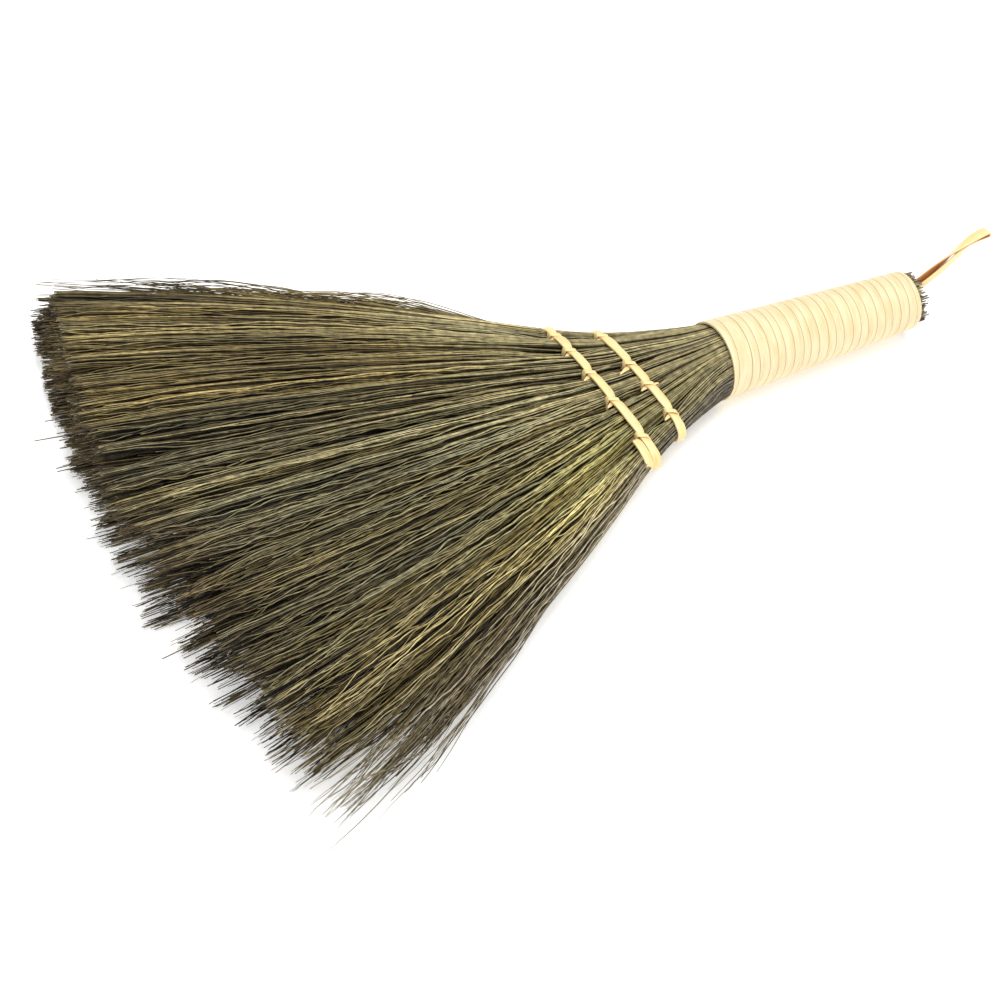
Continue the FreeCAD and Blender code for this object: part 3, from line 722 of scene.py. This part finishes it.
def lay(share, side, depth, first, last, rings, kink, cross, flare=(0.0, 0.0), bow=0.0):
    """Lines of strands, which keep their place and depth, and wander a little."""
    strands = len(share)
    along = ring_places(rings)
    start = first[:, None]
    reach = start + (last - first)[:, None] * along
    lock = nearest(lock_shares, share)
    clump = nearest(clump_shares, share)
    ending = trimmed_reach(share)[:, None]
    pull = lock_pulls[lock][:, None] * ease(LOCK_START, tip_reach, reach)
    place = share[:, None] + (lock_shares[lock] - share)[:, None] * pull
    pull = clump_pulls[clump][:, None] * ease(ending - CLUMP_REACH, ending, reach)
    place += (clump_shares[clump][:, None] - place) * pull
    place = fan_share(place, reach)
    width = half_width(reach)
    pinched, push = crease(place, reach)
    across = place * width + push

    started = np.clip((reach - start) / EMERGING_LENGTH, 0.0, None)
    across += rng.normal(0.0, cross, (strands, 1)) * np.exp(-started) * (start > 0.0)
    past_rows = np.maximum(reach - outer_reach - TURN_START, 0.0)
    turned = lock_turns[lock][:, None] + rng.normal(0.0, OWN_TURN_SPREAD, (strands, 1))
    across += turned * past_rows * (1.0 - past_rows / TURN_LENGTH)
    free = ease(outer_reach, outer_reach + FREE_LENGTH, reach)
    lift = np.zeros_like(across)
    step = float(np.mean(last - first)) / (rings - 1)
    for length, amount in KINKS:
        if length < POINTS_PER_KINK * step:
            continue
        turn = FULL_TURN * reach / (length * rng.uniform(*KINK_LENGTHS, (strands, 1)))
        phase = rng.uniform(0.0, FULL_TURN, (strands, 2))
        sway = kink * amount * rng.uniform(*KINK_SIZES, (strands, 1)) * mix(BOUND_SWAY, 1.0, free)
        sway = sway * mix(*SIDE_SWAYS, ease(*SWAY_SHARES, share))[:, None]
        across += sway * zigzag(turn + phase[:, :1])
        lift += LIFT_SHARE * sway * zigzag(turn + phase[:, 1:])

    inside = np.clip(across / width, -RIM_SHARE, RIM_SHARE)
    height = rise(inside, reach) * (1.0 - pinched) - furrow(inside, reach)
    height = np.maximum(height, LEAST_HEIGHT)
    emerging = EMERGING_DEPTH * np.exp(-started) * (start > LATE_START)
    low = np.minimum(depth[:, None] + emerging, DEEPEST * height)
    up = side[:, None] * (height - low) + lift * np.minimum(1.0, height / LIFT_HEIGHT)
    under = np.maximum(height - SKIN, 0.0)
    up = np.clip(up, -under, under)
    sunk = height - side[:, None] * up
    sideways, upwards, bow = (np.reshape(amount, (-1, 1)) for amount in (*flare, bow))
    across = inside * width + sideways * along ** 2
    across += CORNER_FLARE * ease(*FLARE_SHARES, inside) * ease(FLARE_START, corner_reach, reach)
    across += bow * np.sin(math.pi * along) ** 2
    up = np.maximum(up + upwards * along ** 2, FLOOR_GAP - axis_z)
    return np.stack([across, front_y - reach, axis_z + up], axis=-1), reach, inside, sunk


TIP_TAPER = 0.5
ROOT_TAPER = (-0.12, 0.06)
LIT_TIPS = (-0.02, -0.004)


def strand_group(lines, thickness, shade, end_dark, before_tips=1.0):
    """Shares, lines, radii and colours of one kind of strand, with painted shade by depth if no shade is
    given.
    """
    centres, reach, inside, sunk = lay(**lines)
    last = lines["last"][:, None]
    if shade is None:
        shade = shade_at(sunk, inside, reach)
    else:
        shade = shade[:, None] * mix(before_tips, 1.0, ease(*LIT_TIPS, reach - last))
    along = ring_places(lines["rings"])
    taper = mix(1.0, TIP_TAPER, along ** 3) * ease(*ROOT_TAPER, along)
    radii = rng.uniform(*thickness, (len(centres), 1)) * taper
    colours = strand_colours(inside, reach, shade, last, end_dark)
    return lines["share"], centres, radii, colours


OUTLINE_STEPS = 4001
OVERDRAW = 6
PLACE_RIM = 0.99


def outline_shares(count):
    """Shares spread evenly round one side of the tips' outline."""
    share = np.linspace(-1.0, 1.0, OUTLINE_STEPS)
    height = rise(share, corner_reach)
    length = np.hypot(np.diff(share) * tip_half_width, np.diff(height))
    total = np.concatenate([[0.0], np.cumsum(length)])
    spots = (np.arange(count) + rng.uniform(0.0, 1.0, count)) / count * total[-1]
    return np.interp(spots, total, share)


def section_places(count, reach):
    """Shares and sides spread evenly through a section, with depths under its surface."""
    share = rng.uniform(-PLACE_RIM, PLACE_RIM, OVERDRAW * count)
    level = rng.uniform(-1.0, 1.0, OVERDRAW * count)
    height = rise(share, reach)
    kept = rng.uniform(size=OVERDRAW * count) < height / height.max()
    share, level, height = (values[kept][:count] for values in (share, level, height))
    side = np.where(level < 0.0, -1.0, 1.0)
    return share, side, (1.0 - np.abs(level)) * height


THIN_PLUS = (0.74, 0.88)
THIN_MINUS = (0.9, 1.0)
THIN_MINUS_AMOUNT = 0.7
THIN_CUTS = (0.02, 0.115)
LOOSENED_SHARES = (-0.7, 0.2)
LOOSE_CUTS = (0.002, 0.036)


def ends_early(share, last, loose, thin):
    """Reaches of tips, some cut short: far back at the rims, and a little towards the +X tips."""
    count = len(share)
    minus_rim = THIN_MINUS_AMOUNT * ease(*THIN_MINUS, -share)
    rim = np.maximum(ease(*THIN_PLUS, share), minus_rim)
    last = np.where(rng.uniform(size=count) < thin * rim, last - rng.uniform(*THIN_CUTS, count), last)
    loosened = loose * ease(*LOOSENED_SHARES, share)
    return np.where(rng.uniform(size=count) < loosened, last - rng.uniform(*LOOSE_CUTS, count), last)


FIBRE_RADII = (0.0002, 0.00033)
FIBRE_SCATTER = 0.0008
UNDER_WRAP = -0.006
LEAST_LENGTH = 0.03


def surface_fibres(side, count, rings, depths, loose, thin):
    """Fibres that lie on one side of the fan: more join as the fan widens."""
    share = outline_shares(count)
    widths = np.linspace(0.0, 1.0, count) * tip_half_width
    rng.shuffle(widths)
    past_neck = reaches > 0.0
    first = np.interp(widths, profile_width[past_neck], reaches[past_neck])
    first = np.where(first < LATE_START, UNDER_WRAP, first)
    last = ends_early(share, ragged_reach(share, side, FIBRE_SCATTER), loose, thin)
    depth = rng.uniform(*depths, count)
    lines = dict(
        share=share, side=np.full(count, float(side)), depth=depth,
        first=np.minimum(first, last - LEAST_LENGTH), last=last, rings=rings, kink=0.0012, cross=0.0024)
    return strand_group(lines, FIBRE_RADII, None, end_dark=0.7)


INSIDE_RADII = (0.0002, 0.00036)
INSIDE_STARTS = (0.05, 0.11)
INSIDE_SCATTER = 0.0014
INSIDE_SHADES = (0.15, 0.6)
LEAST_RISE = 0.001
LONGER_SHARE = 0.14
LONGER_BY = 0.0024


def inside_fibres():
    """Fibres within the fan, which show at the cut tips and in the gaps."""
    share, side, depth = section_places(count=3000, reach=corner_reach)
    count = len(share)
    level = side * (1.0 - depth / np.maximum(rise(share, corner_reach), LEAST_RISE))
    last = ends_early(share, ragged_reach(share, level, INSIDE_SCATTER), loose=0.93, thin=0.97)
    longer = rng.uniform(size=count) < LONGER_SHARE * looseness(share)
    last = np.where(longer, last + rng.exponential(LONGER_BY, count), last)
    lines = dict(
        share=share, side=side, depth=depth, first=rng.uniform(*INSIDE_STARTS, count), last=last,
        rings=10, kink=0.0008, cross=0.0014)
    # Painted shade: fibres within the fan are dim, and dimmer still away from their tips.
    shades = rng.uniform(*INSIDE_SHADES, count)
    return strand_group(lines, INSIDE_RADII, shades, end_dark=0.85, before_tips=0.4)


STALK_RADII = (0.00027, 0.00042)
STALK_ENDS = (0.07, 0.14)
BUTT_ENDS = (0.0003, 0.0006)
SAWN = (-0.004, -0.0005)
SAWN_LIGHTS = (0.5, 2.0)


def stalks():
    """Stalks from the butt through the handle and the rows into the brush."""
    handle_share, side, depth = section_places(count=640, reach=0.0)
    count = len(handle_share)
    share = np.interp(handle_share, HANDLE_SPLITS, FAN_SPLITS)
    first = front_y - butt_y + rng.normal(*BUTT_ENDS, count)
    lines = dict(
        share=share, side=side, depth=depth, first=first, last=rng.uniform(*STALK_ENDS, count),
        rings=40, kink=0.0007, cross=0.0)
    share, centres, radii, colours = strand_group(lines, STALK_RADII, None, end_dark=0.0)
    sawn = ease(*SAWN, centres[..., 1:2] - (front_y - first)[:, None, None])
    return share, centres, radii, mix(colours, PALE_CUT * rng.uniform(*SAWN_LIGHTS, (count, 1, 1)), sawn)


WISP_KINDS = (
    # Count, shares, how far they stand out at the end, sideways and upwards, how far they bow out
    # sideways between their ends, and how far they pass the tips
    (140, (-0.999, -0.95), (-0.005, 0.001), (0.0, 0.003), (-0.008, 0.001), (-0.085, 0.001)),
    (80, (0.86, 0.999), (0.0, 0.007), (-0.003, 0.002), (-0.001, 0.002), (-0.03, 0.008)),
    (520, (-0.98, 0.98), (-0.0015, 0.0015), (-0.002, 0.001), (-0.001, 0.001), (-0.005, 0.003)),
    (60, (-0.95, 0.95), (-0.006, 0.006), (0.0, 0.001), (-0.002, 0.002), (-0.07, -0.01)),
)
WISP_START = 0.008
WISP_LENGTHS = (0.05, 0.1)
WISP_UPPER_SHARE = 0.75
WISP_DEPTHS = (0.0001, 0.003)
WISP_RADII = (0.00011, 0.0002)
WISP_SHADES = (0.25, 0.7)


def wisps():
    """Fine loose hairs at both rims, at the tips and on both faces."""
    groups = []
    for count, shares, sideways, upwards, bows, passing in WISP_KINDS:
        share = rng.uniform(*shares, count)
        last = trimmed_reach(share) + rng.uniform(*passing, count)
        first = np.maximum(last - rng.uniform(*WISP_LENGTHS, count), outer_reach + WISP_START)
        lines = dict(
            share=share, side=np.where(rng.uniform(size=count) < WISP_UPPER_SHARE, 1.0, -1.0),
            depth=rng.uniform(*WISP_DEPTHS, count), first=first, last=last, rings=30,
            kink=0.0009, cross=0.001, flare=(rng.uniform(*sideways, count), rng.uniform(*upwards, count)),
            bow=rng.uniform(*bows, count))
        groups.append(strand_group(lines, WISP_RADII, rng.uniform(*WISP_SHADES, count), end_dark=0.3))
    return [np.concatenate(values) for values in zip(*groups)]


STRAND_CORNERS = 3


def strand_pieces(name, group, look, node=None):
    """One piece for each bundle, in place of its node where one is given."""
    outline = regular_outline(STRAND_CORNERS)
    for bundle in range(BUNDLE_COUNT):
        chosen = bundle_of(group[0]) == bundle
        centres, radii, colours = (values[chosen] for values in group[1:])
        tangent = unit(np.gradient(centres, axis=1))
        level = unit(np.cross(tangent, UP))
        raised = np.cross(tangent, level)
        spin = rng.uniform(0.0, FULL_TURN, (len(centres), 1, 1))
        sides = (np.cos(spin) * level + np.sin(spin) * raised) * radii[..., None]
        ups = (np.cos(spin) * raised - np.sin(spin) * level) * radii[..., None]
        chunk = centres.shape[1] - 1
        piece = sweep(f"{name}_{bundle + 1}", centres, sides, ups, outline, chunk, look, colour=colours)
        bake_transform(piece)
        if node:
            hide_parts(f"{node}_{bundle + 1}")


TOP_DEPTHS = (0.0003, 0.0006)
UNDER_DEPTHS = (0.0011, 0.0034)
FIBRE_KINDS = (
    # Name, node, side, count, rings, depths, share that ends early, and share that is thinned at the rims
    ("top_fibres", "brush_section", 1, 600, 120, TOP_DEPTHS, 0.56, 0.72),
    ("upper_fibres", None, 1, 2000, 36, UNDER_DEPTHS, 0.74, 0.94),
    ("bottom_fibres", None, -1, 480, 72, TOP_DEPTHS, 0.82, 0.96),
    ("lower_fibres", None, -1, 1400, 18, UNDER_DEPTHS, 0.9, 0.97),
)
strand_pieces("stalks", stalks(), stalk_look, "stalk_bundle")
for name, node, *kind in FIBRE_KINDS:
    strand_pieces(name, surface_fibres(*kind), fibre_look, node)
strand_pieces("inside_fibres", inside_fibres(), fibre_look)
strand_pieces("wisps", wisps(), fibre_look)


# Flat strips
STRIP_EDGE_POWER = 0.3
STRIP_CHUNK = 60


def strip(name, centres, wide, outward, width, thickness, look, face_power=0.75, corners=12):
    """One flat strip, whose width may change along it."""
    cosine, sine = regular_outline(corners).T
    outline = np.stack([signed_power(cosine, STRIP_EDGE_POWER), signed_power(sine, face_power)], axis=1)
    place = np.zeros((len(centres), corners, 3))
    place[..., 0] = run_along(centres)[:, None]
    place[..., 1:] = outline
    sides = (wide * np.reshape(width, (-1, 1)) / 2)[None]
    ups = (outward * thickness / 2)[None]
    return sweep(name, centres[None], sides, ups, outline, STRIP_CHUNK, look, place=place.reshape(-1, 3))


WRAP_WAVES = ((0.0003, 1.9), (0.00018, 4.3))
WRAP_END_TURN = 0.02
WRAP_RINGS_PER_TURN = 56
WRAP_WIDTH_SHARE = 0.995


def seam_y(turn):
    """Y of the seam between two turns of the wrap, by turns from its front end."""
    uneven = sum(amount * np.sin(rate * turn) for amount, rate in WRAP_WAVES)
    later = front_y + WRAP_FIRST_TURN + WRAP_PITCH * (turn - 1.0) + uneven * ease(1.0, 2.0, turn)
    return np.clip(np.where(turn < 1.0, front_y + WRAP_FIRST_TURN * turn, later), front_y, wrap_high.y)


def wrap_strip():
    """Strip wound tightly on the handle, trimmed to a clean ring at both ends."""
    turns = (wrap_high.y - front_y - WRAP_FIRST_TURN) / WRAP_PITCH + 2.0
    turn = np.linspace(WRAP_END_TURN, turns - WRAP_END_TURN, int(turns * WRAP_RINGS_PER_TURN))
    low, high = seam_y(turn - 1.0), seam_y(turn)
    middle = (low + high) / 2
    taper = (neck_radius - BUTT_RADIUS) / (butt_y - front_y)
    radius = neck_radius - taper * (middle - front_y) + SEAT + WRAP_THICKNESS / 2
    angle = FULL_TURN * turn - math.pi / 2
    around = np.stack([np.cos(angle), np.zeros_like(angle), np.sin(angle)], axis=1)
    centres = around * radius[:, None] + BACK * middle[:, None] + UP * axis_z
    wide = unit(taper * around - BACK)
    outward = unit(around + taper * BACK)
    width = (high - low) * WRAP_WIDTH_SHARE
    piece = strip("wrap_strip", centres, wide, outward, width, WRAP_THICKNESS, wrap_look, face_power=0.3)
    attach(piece, "handle")
    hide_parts("handle_wrap")


wrap_strip()


# Rows of binding
BAND_ENDS = {"inner": (-70.0, 340.0), "outer": (-40.0, 407.0)}
BAND_SHIFT_ANGLES = (190.0, 290.0)
BAND_SLANT = 0.0013
BAND_SWELL = 1.2
BAND_WAVES = ((0.06, 0.11, 0.0), (0.04, 0.31, 1.0))
BAND_DIP = 0.4
BAND_STEPS = 1500
BAND_RINGS = 300
KNOT_HALF_WIDTH = 0.0016
KNOT_PINCH = 0.3


def band_line(row, degrees, lift):
    """Points on the surface of the fan at a row, by angle from the +X rim over the upper side."""
    angle = np.radians(degrees)
    reach = row_reach[row]
    wide, tall = row_half_width[row], row_half_thickness
    power = float(np.interp(reach, reaches, profile_power))
    share = signed_power(np.cos(angle), 2.0 / power)
    level = signed_power(np.sin(angle), 2.0 / power)
    dip = BAND_DIP * crease(share, reach)[0]
    normal = unit(np.stack([
        signed_power(share, power - 1.0) / wide,
        np.zeros_like(share),
        signed_power(level, power - 1.0) / tall,
    ], axis=1))
    drift = BAND_SHIFT * ease(*BAND_SHIFT_ANGLES, degrees)
    y = front_y - reach - drift + BAND_SLANT * share
    points = np.stack([wide * share, y, axis_z + tall * level * (1.0 - dip)], axis=1)
    return points + normal * lift, normal, share


def row_band(row):
    """Strip round the fan, drawn narrow under each stitch."""
    degrees = np.linspace(*BAND_ENDS[row], BAND_STEPS)
    run = run_along(band_line(row, degrees, 0.0)[0])
    degrees = np.interp(np.linspace(0.0, run[-1], BAND_RINGS), run, degrees)
    centres, normal, share = band_line(row, degrees, SEAT + BAND_THICKNESS / 2)
    tangent = unit(np.gradient(centres, axis=0))
    wide = unit(np.cross(normal, tangent))
    outward = np.cross(tangent, wide)
    knots = FAN_SPLITS[list(ROW_CUTS[row])]
    near = bell((share[:, None] - knots) * row_half_width[row], 0.0, KNOT_HALF_WIDTH).max(axis=1)
    wobble = BAND_SWELL
    for amount, rate, phase in BAND_WAVES:
        wobble = wobble + amount * np.sin(rate * degrees + phase)
    width = BAND_WIDTH * wobble * (1.0 - KNOT_PINCH * near)
    piece = strip(row + "_band", centres, wide, outward, width, BAND_THICKNESS, band_look)
    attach(piece, "handle")
    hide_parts(row + "_row_band")


STITCH_RINGS = 90
STITCH_SPAN = 0.44
STITCH_UNDER_SPAN = 0.55
STITCH_SLANT = 0.0013
STITCH_PINCH = 0.3


def row_stitch(row, cut):
    """Stitch that goes through the fan and over the strip on both sides."""
    reach = row_reach[row]
    share = FAN_SPLITS[cut]
    above = float(rise(share, reach)) * (1.0 - BAND_DIP * CREASE_DEPTH)
    above = above + SEAT + BAND_THICKNESS + STITCH_THICKNESS / 2
    turn = np.linspace(-0.5 * math.pi, 1.5 * math.pi, STITCH_RINGS)
    cosine, sine = np.cos(turn), np.sin(turn)
    half = BAND_WIDTH * STITCH_SPAN + STITCH_THICKNESS
    lower = np.clip(-sine, 0.0, 1.0)
    along = half * signed_power(cosine, power=0.35) * (1.0 + STITCH_UNDER_SPAN * lower)
    up = above * signed_power(sine, power=0.22)
    slant = STITCH_SLANT * signed_power(cosine, power=0.6) * np.sign(sine)
    x = share * row_half_width[row]
    y = front_y - reach - 0.5 * BAND_SHIFT * lower + BAND_SLANT * share
    centres = np.stack([x + slant, y + along, axis_z + up], axis=1)
    tangent = unit(np.gradient(centres, axis=0))
    wide = unit(RIGHT - tangent * tangent[:, :1])
    outward = np.cross(tangent, wide)
    return centres, wide, outward, STITCH_WIDTH * (1.0 - STITCH_PINCH * sine ** 6)


STITCH_TAILS = {
    # Cut, length, heading in degrees from the tips towards +X, and rise
    "outer": ((1, 0.0026, 24.0, 0.0006), (2, 0.0028, 26.0, 0.0005), (3, 0.0036, 28.0, 0.0006),
              (4, 0.0034, 30.0, 0.0005), (5, 0.0042, 34.0, 0.0003)),
    "inner": ((1, 0.0032, 22.0, 0.0006), (3, 0.0056, 26.0, 0.0008), (4, 0.0036, 24.0, 0.0008),
              (4, 0.0032, 165.0, 0.001), (5, 0.0036, 30.0, 0.0005)),
}
TAIL_RINGS = 10
TAIL_DIP = 0.6
TAIL_TAPER = 0.25


def stitch_tail(row, cut, length, heading, lift):
    """Cut end of a stitch, which sticks out beside its knot."""
    reach = row_reach[row]
    share = FAN_SPLITS[cut]
    base_z = float(rise(share, reach)) * (1.0 - TAIL_DIP * CREASE_DEPTH) + SEAT
    along = np.linspace(0.0, 1.0, TAIL_RINGS)
    turn = math.radians(heading)
    step = np.array([math.sin(turn), -math.cos(turn), 0.0])
    root = np.array([share * row_half_width[row], front_y - reach + BAND_SLANT * share, axis_z + base_z])
    rising = lift * np.sin(0.5 * math.pi * along)
    centres = root + step * (length * along)[:, None] + UP * rising[:, None]
    tangent = unit(np.gradient(centres, axis=0))
    wide = unit(np.cross(UP, tangent))
    outward = np.cross(tangent, wide)
    return centres, wide, outward, STITCH_WIDTH * mix(1.0, TAIL_TAPER, along)


def row_stitches(row):
    """All stitches of a row, with their cut ends, on one carrier."""
    carrier = None
    pieces = [(f"{row}_stitch_{cut}", row_stitch(row, cut)) for cut in ROW_CUTS[row]]
    pieces += [(f"{row}_stitch_tail_{number + 1}", stitch_tail(row, *tail))
               for number, tail in enumerate(STITCH_TAILS[row])]
    for name, (centres, wide, outward, width) in pieces:
        piece = strip(name, centres, wide, outward, width, STITCH_THICKNESS, band_look)
        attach(piece, "handle")
        carrier = carrier or piece
    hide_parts(row + "_row_stitches")


for row in ("inner", "outer"):
    row_band(row)
    row_stitches(row)


# Hanging loop
LOOP_LEG_X = 0.00262
LOOP_HALF_GAP = 0.0008
LOOP_FOLD_RADIUS = 0.0006
LOOP_TUCK = 0.012
LOOP_LENGTH = 0.023
LOOP_ROOT_RAISE = 0.0018
LOOP_RAISE = 0.0195
LOOP_ARCH = (0.32, 0.48)
LOOP_ARCH_RAISE = 0.92
LOOP_TWIST = math.radians(80.0)
LOOP_SPLAY = math.radians(13.0)
LOOP_LEG_RINGS = 70
LOOP_FOLD_RINGS = 24
LOOP_STEP = 0.001

# Shares of the loop's length over which its legs close, fold, twist and turn
LEGS_CLOSE = (-0.4, 0.08)
LEGS_FOLD = (0.45, 1.0)
LEGS_TWIST = (0.15, 0.85)
NEAR_TURNS = (0.55, 1.0)
FAR_TURNS = (0.15, 0.9)


def loop_line(share):
    """Middle line of the loop: it leaves the butt straight, arches up and ends level again."""
    y = [butt_y - LOOP_TUCK, *(butt_y + arch * LOOP_LENGTH for arch in LOOP_ARCH), butt_y + LOOP_LENGTH]
    z = [LOOP_ROOT_RAISE, LOOP_ROOT_RAISE, LOOP_ARCH_RAISE * LOOP_RAISE, LOOP_RAISE]
    left = 1.0 - share
    weights = np.stack([left ** 3, 3.0 * left ** 2 * share, 3.0 * left * share ** 2, share ** 3], axis=-1)
    return np.stack([np.zeros_like(share), weights @ y, axis_z + weights @ z], axis=-1)


def hanging_loop():
    """Folded strip that stands out of the butt, arches up and twists towards its fold."""
    leg = np.linspace(0.0, 1.0, LOOP_LEG_RINGS)
    bend = np.linspace(0.0, math.pi, LOOP_FOLD_RINGS)[1:-1]
    share = np.concatenate([leg, np.ones(len(bend)), leg[::-1]])
    line = loop_line(share)
    before = np.minimum(share, 1.0 - LOOP_STEP)
    ahead = unit(loop_line(before + LOOP_STEP) - loop_line(before))
    out = (line[:, 1] - butt_y) / LOOP_LENGTH
    apart = mix(LOOP_LEG_X, LOOP_HALF_GAP, ease(*LEGS_CLOSE, out))
    apart = mix(apart, LOOP_FOLD_RADIUS, ease(*LEGS_FOLD, out))
    side = np.pad(np.cos(bend), LOOP_LEG_RINGS, constant_values=(1.0, -1.0))
    twist = (LOOP_TWIST * ease(*LEGS_TWIST, out))[:, None]
    near_turn = mix(LOOP_SPLAY, LOOP_TWIST, ease(*NEAR_TURNS, out))
    far_turn = mix(-LOOP_SPLAY, LOOP_TWIST, ease(*FAR_TURNS, out))
    turn = np.where(side > 0.0, near_turn, far_turn)[:, None]
    raised = np.cross(RIGHT, ahead)
    across = RIGHT * np.cos(twist) - raised * np.sin(twist)
    wide = raised * np.cos(turn) + RIGHT * np.sin(turn)
    fold = np.pad(LOOP_FOLD_RADIUS * np.sin(bend), LOOP_LEG_RINGS)
    centres = line + across * (apart * side)[:, None] + ahead * fold[:, None]
    tangent = unit(np.gradient(centres, axis=0))
    wide = unit(wide - tangent * (wide * tangent).sum(axis=1, keepdims=True))
    outward = np.cross(tangent, wide)
    piece = strip("hanging_strip", centres, wide, outward, LOOP_WIDTH, LOOP_THICKNESS, loop_look)
    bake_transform(piece)
    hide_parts("hanging_loop", "loop_anchor")


hanging_loop()

# Cords under the wrap keep their shape from the frame
for node in ("front_tie", "rear_tie"):
    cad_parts[node].data.materials.clear()
    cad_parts[node].data.materials.append(cord_look)


# Floor, light and camera
def floor():
    """Plain pale floor, which gives off a little light."""
    material, add, dress = new_material("floor_material")
    mottle = noise(add, add("ShaderNodeTexCoord").outputs["Object"], scale=6.0, detail=2.0)
    dress({
        "Base Color": ramp(add, mottle, ((0.3, (0.9, 0.9, 0.89)), (0.7, (0.92, 0.92, 0.91)))),
        "Roughness": 0.9,
        "Emission Color": (1.0, 1.0, 1.0, 1.0),
        "Emission Strength": 0.3,
    })
    bpy.ops.mesh.primitive_plane_add(size=6.0, location=(0.0, 0.0, cad_box[0].z))
    plane = bpy.context.object
    plane.name = "floor"
    plane.data.materials.append(material)


def looking(place, target):
    """Turn that looks from a place at a target."""
    return (Vector(target) - Vector(place)).to_track_quat("-Z", "Y")


def area_light(name, place, target, size, power, colour):
    """Soft square light."""
    light = bpy.data.lights.new(name, "AREA")
    light.size = size
    light.energy = power
    light.color = colour
    lamp = bpy.data.objects.new(name, light)
    lamp.location = place
    lamp.rotation_euler = looking(place, target).to_euler()
    link(lamp)


def lights():
    """White surroundings, a soft key light overhead, and a fill light past the tips on the +X side."""
    world = bpy.data.worlds.new("studio")
    world.use_nodes = True
    background = world.node_tree.nodes["Background"]
    background.inputs["Color"].default_value = (1.0, 1.0, 1.0, 1.0)
    background.inputs["Strength"].default_value = 0.7
    bpy.context.scene.world = world
    area_light("key", place=(0.05, 0.1, 1.0), target=(0.0, -0.03, 0.0), size=0.7, power=9.0,
               colour=(1.0, 0.98, 0.95))
    area_light("fill", place=(0.6, -0.8, 0.5), target=(0.05, -0.12, 0.0), size=0.9, power=4.5,
               colour=(0.97, 0.985, 1.0))


CAMERA_PLACE = (0.3937, -0.3247, 0.4994)
CAMERA_TARGET = (0.0248, -0.0460, 0.0125)
CAMERA_ROLL = math.radians(10.34)


def camera():
    """Camera at the photograph's viewing angle."""
    data = bpy.data.cameras.new("camera")
    data.lens = 86.3
    data.clip_start = 0.01
    body = bpy.data.objects.new("camera", data)
    view = looking(CAMERA_PLACE, CAMERA_TARGET).to_matrix().to_4x4()
    body.matrix_world = Matrix.Translation(CAMERA_PLACE) @ view @ Matrix.Rotation(CAMERA_ROLL, 4, "Z")
    link(body)
    bpy.context.scene.camera = body


floor()
lights()
camera()
bpy.context.scene.view_settings.view_transform = "Standard"
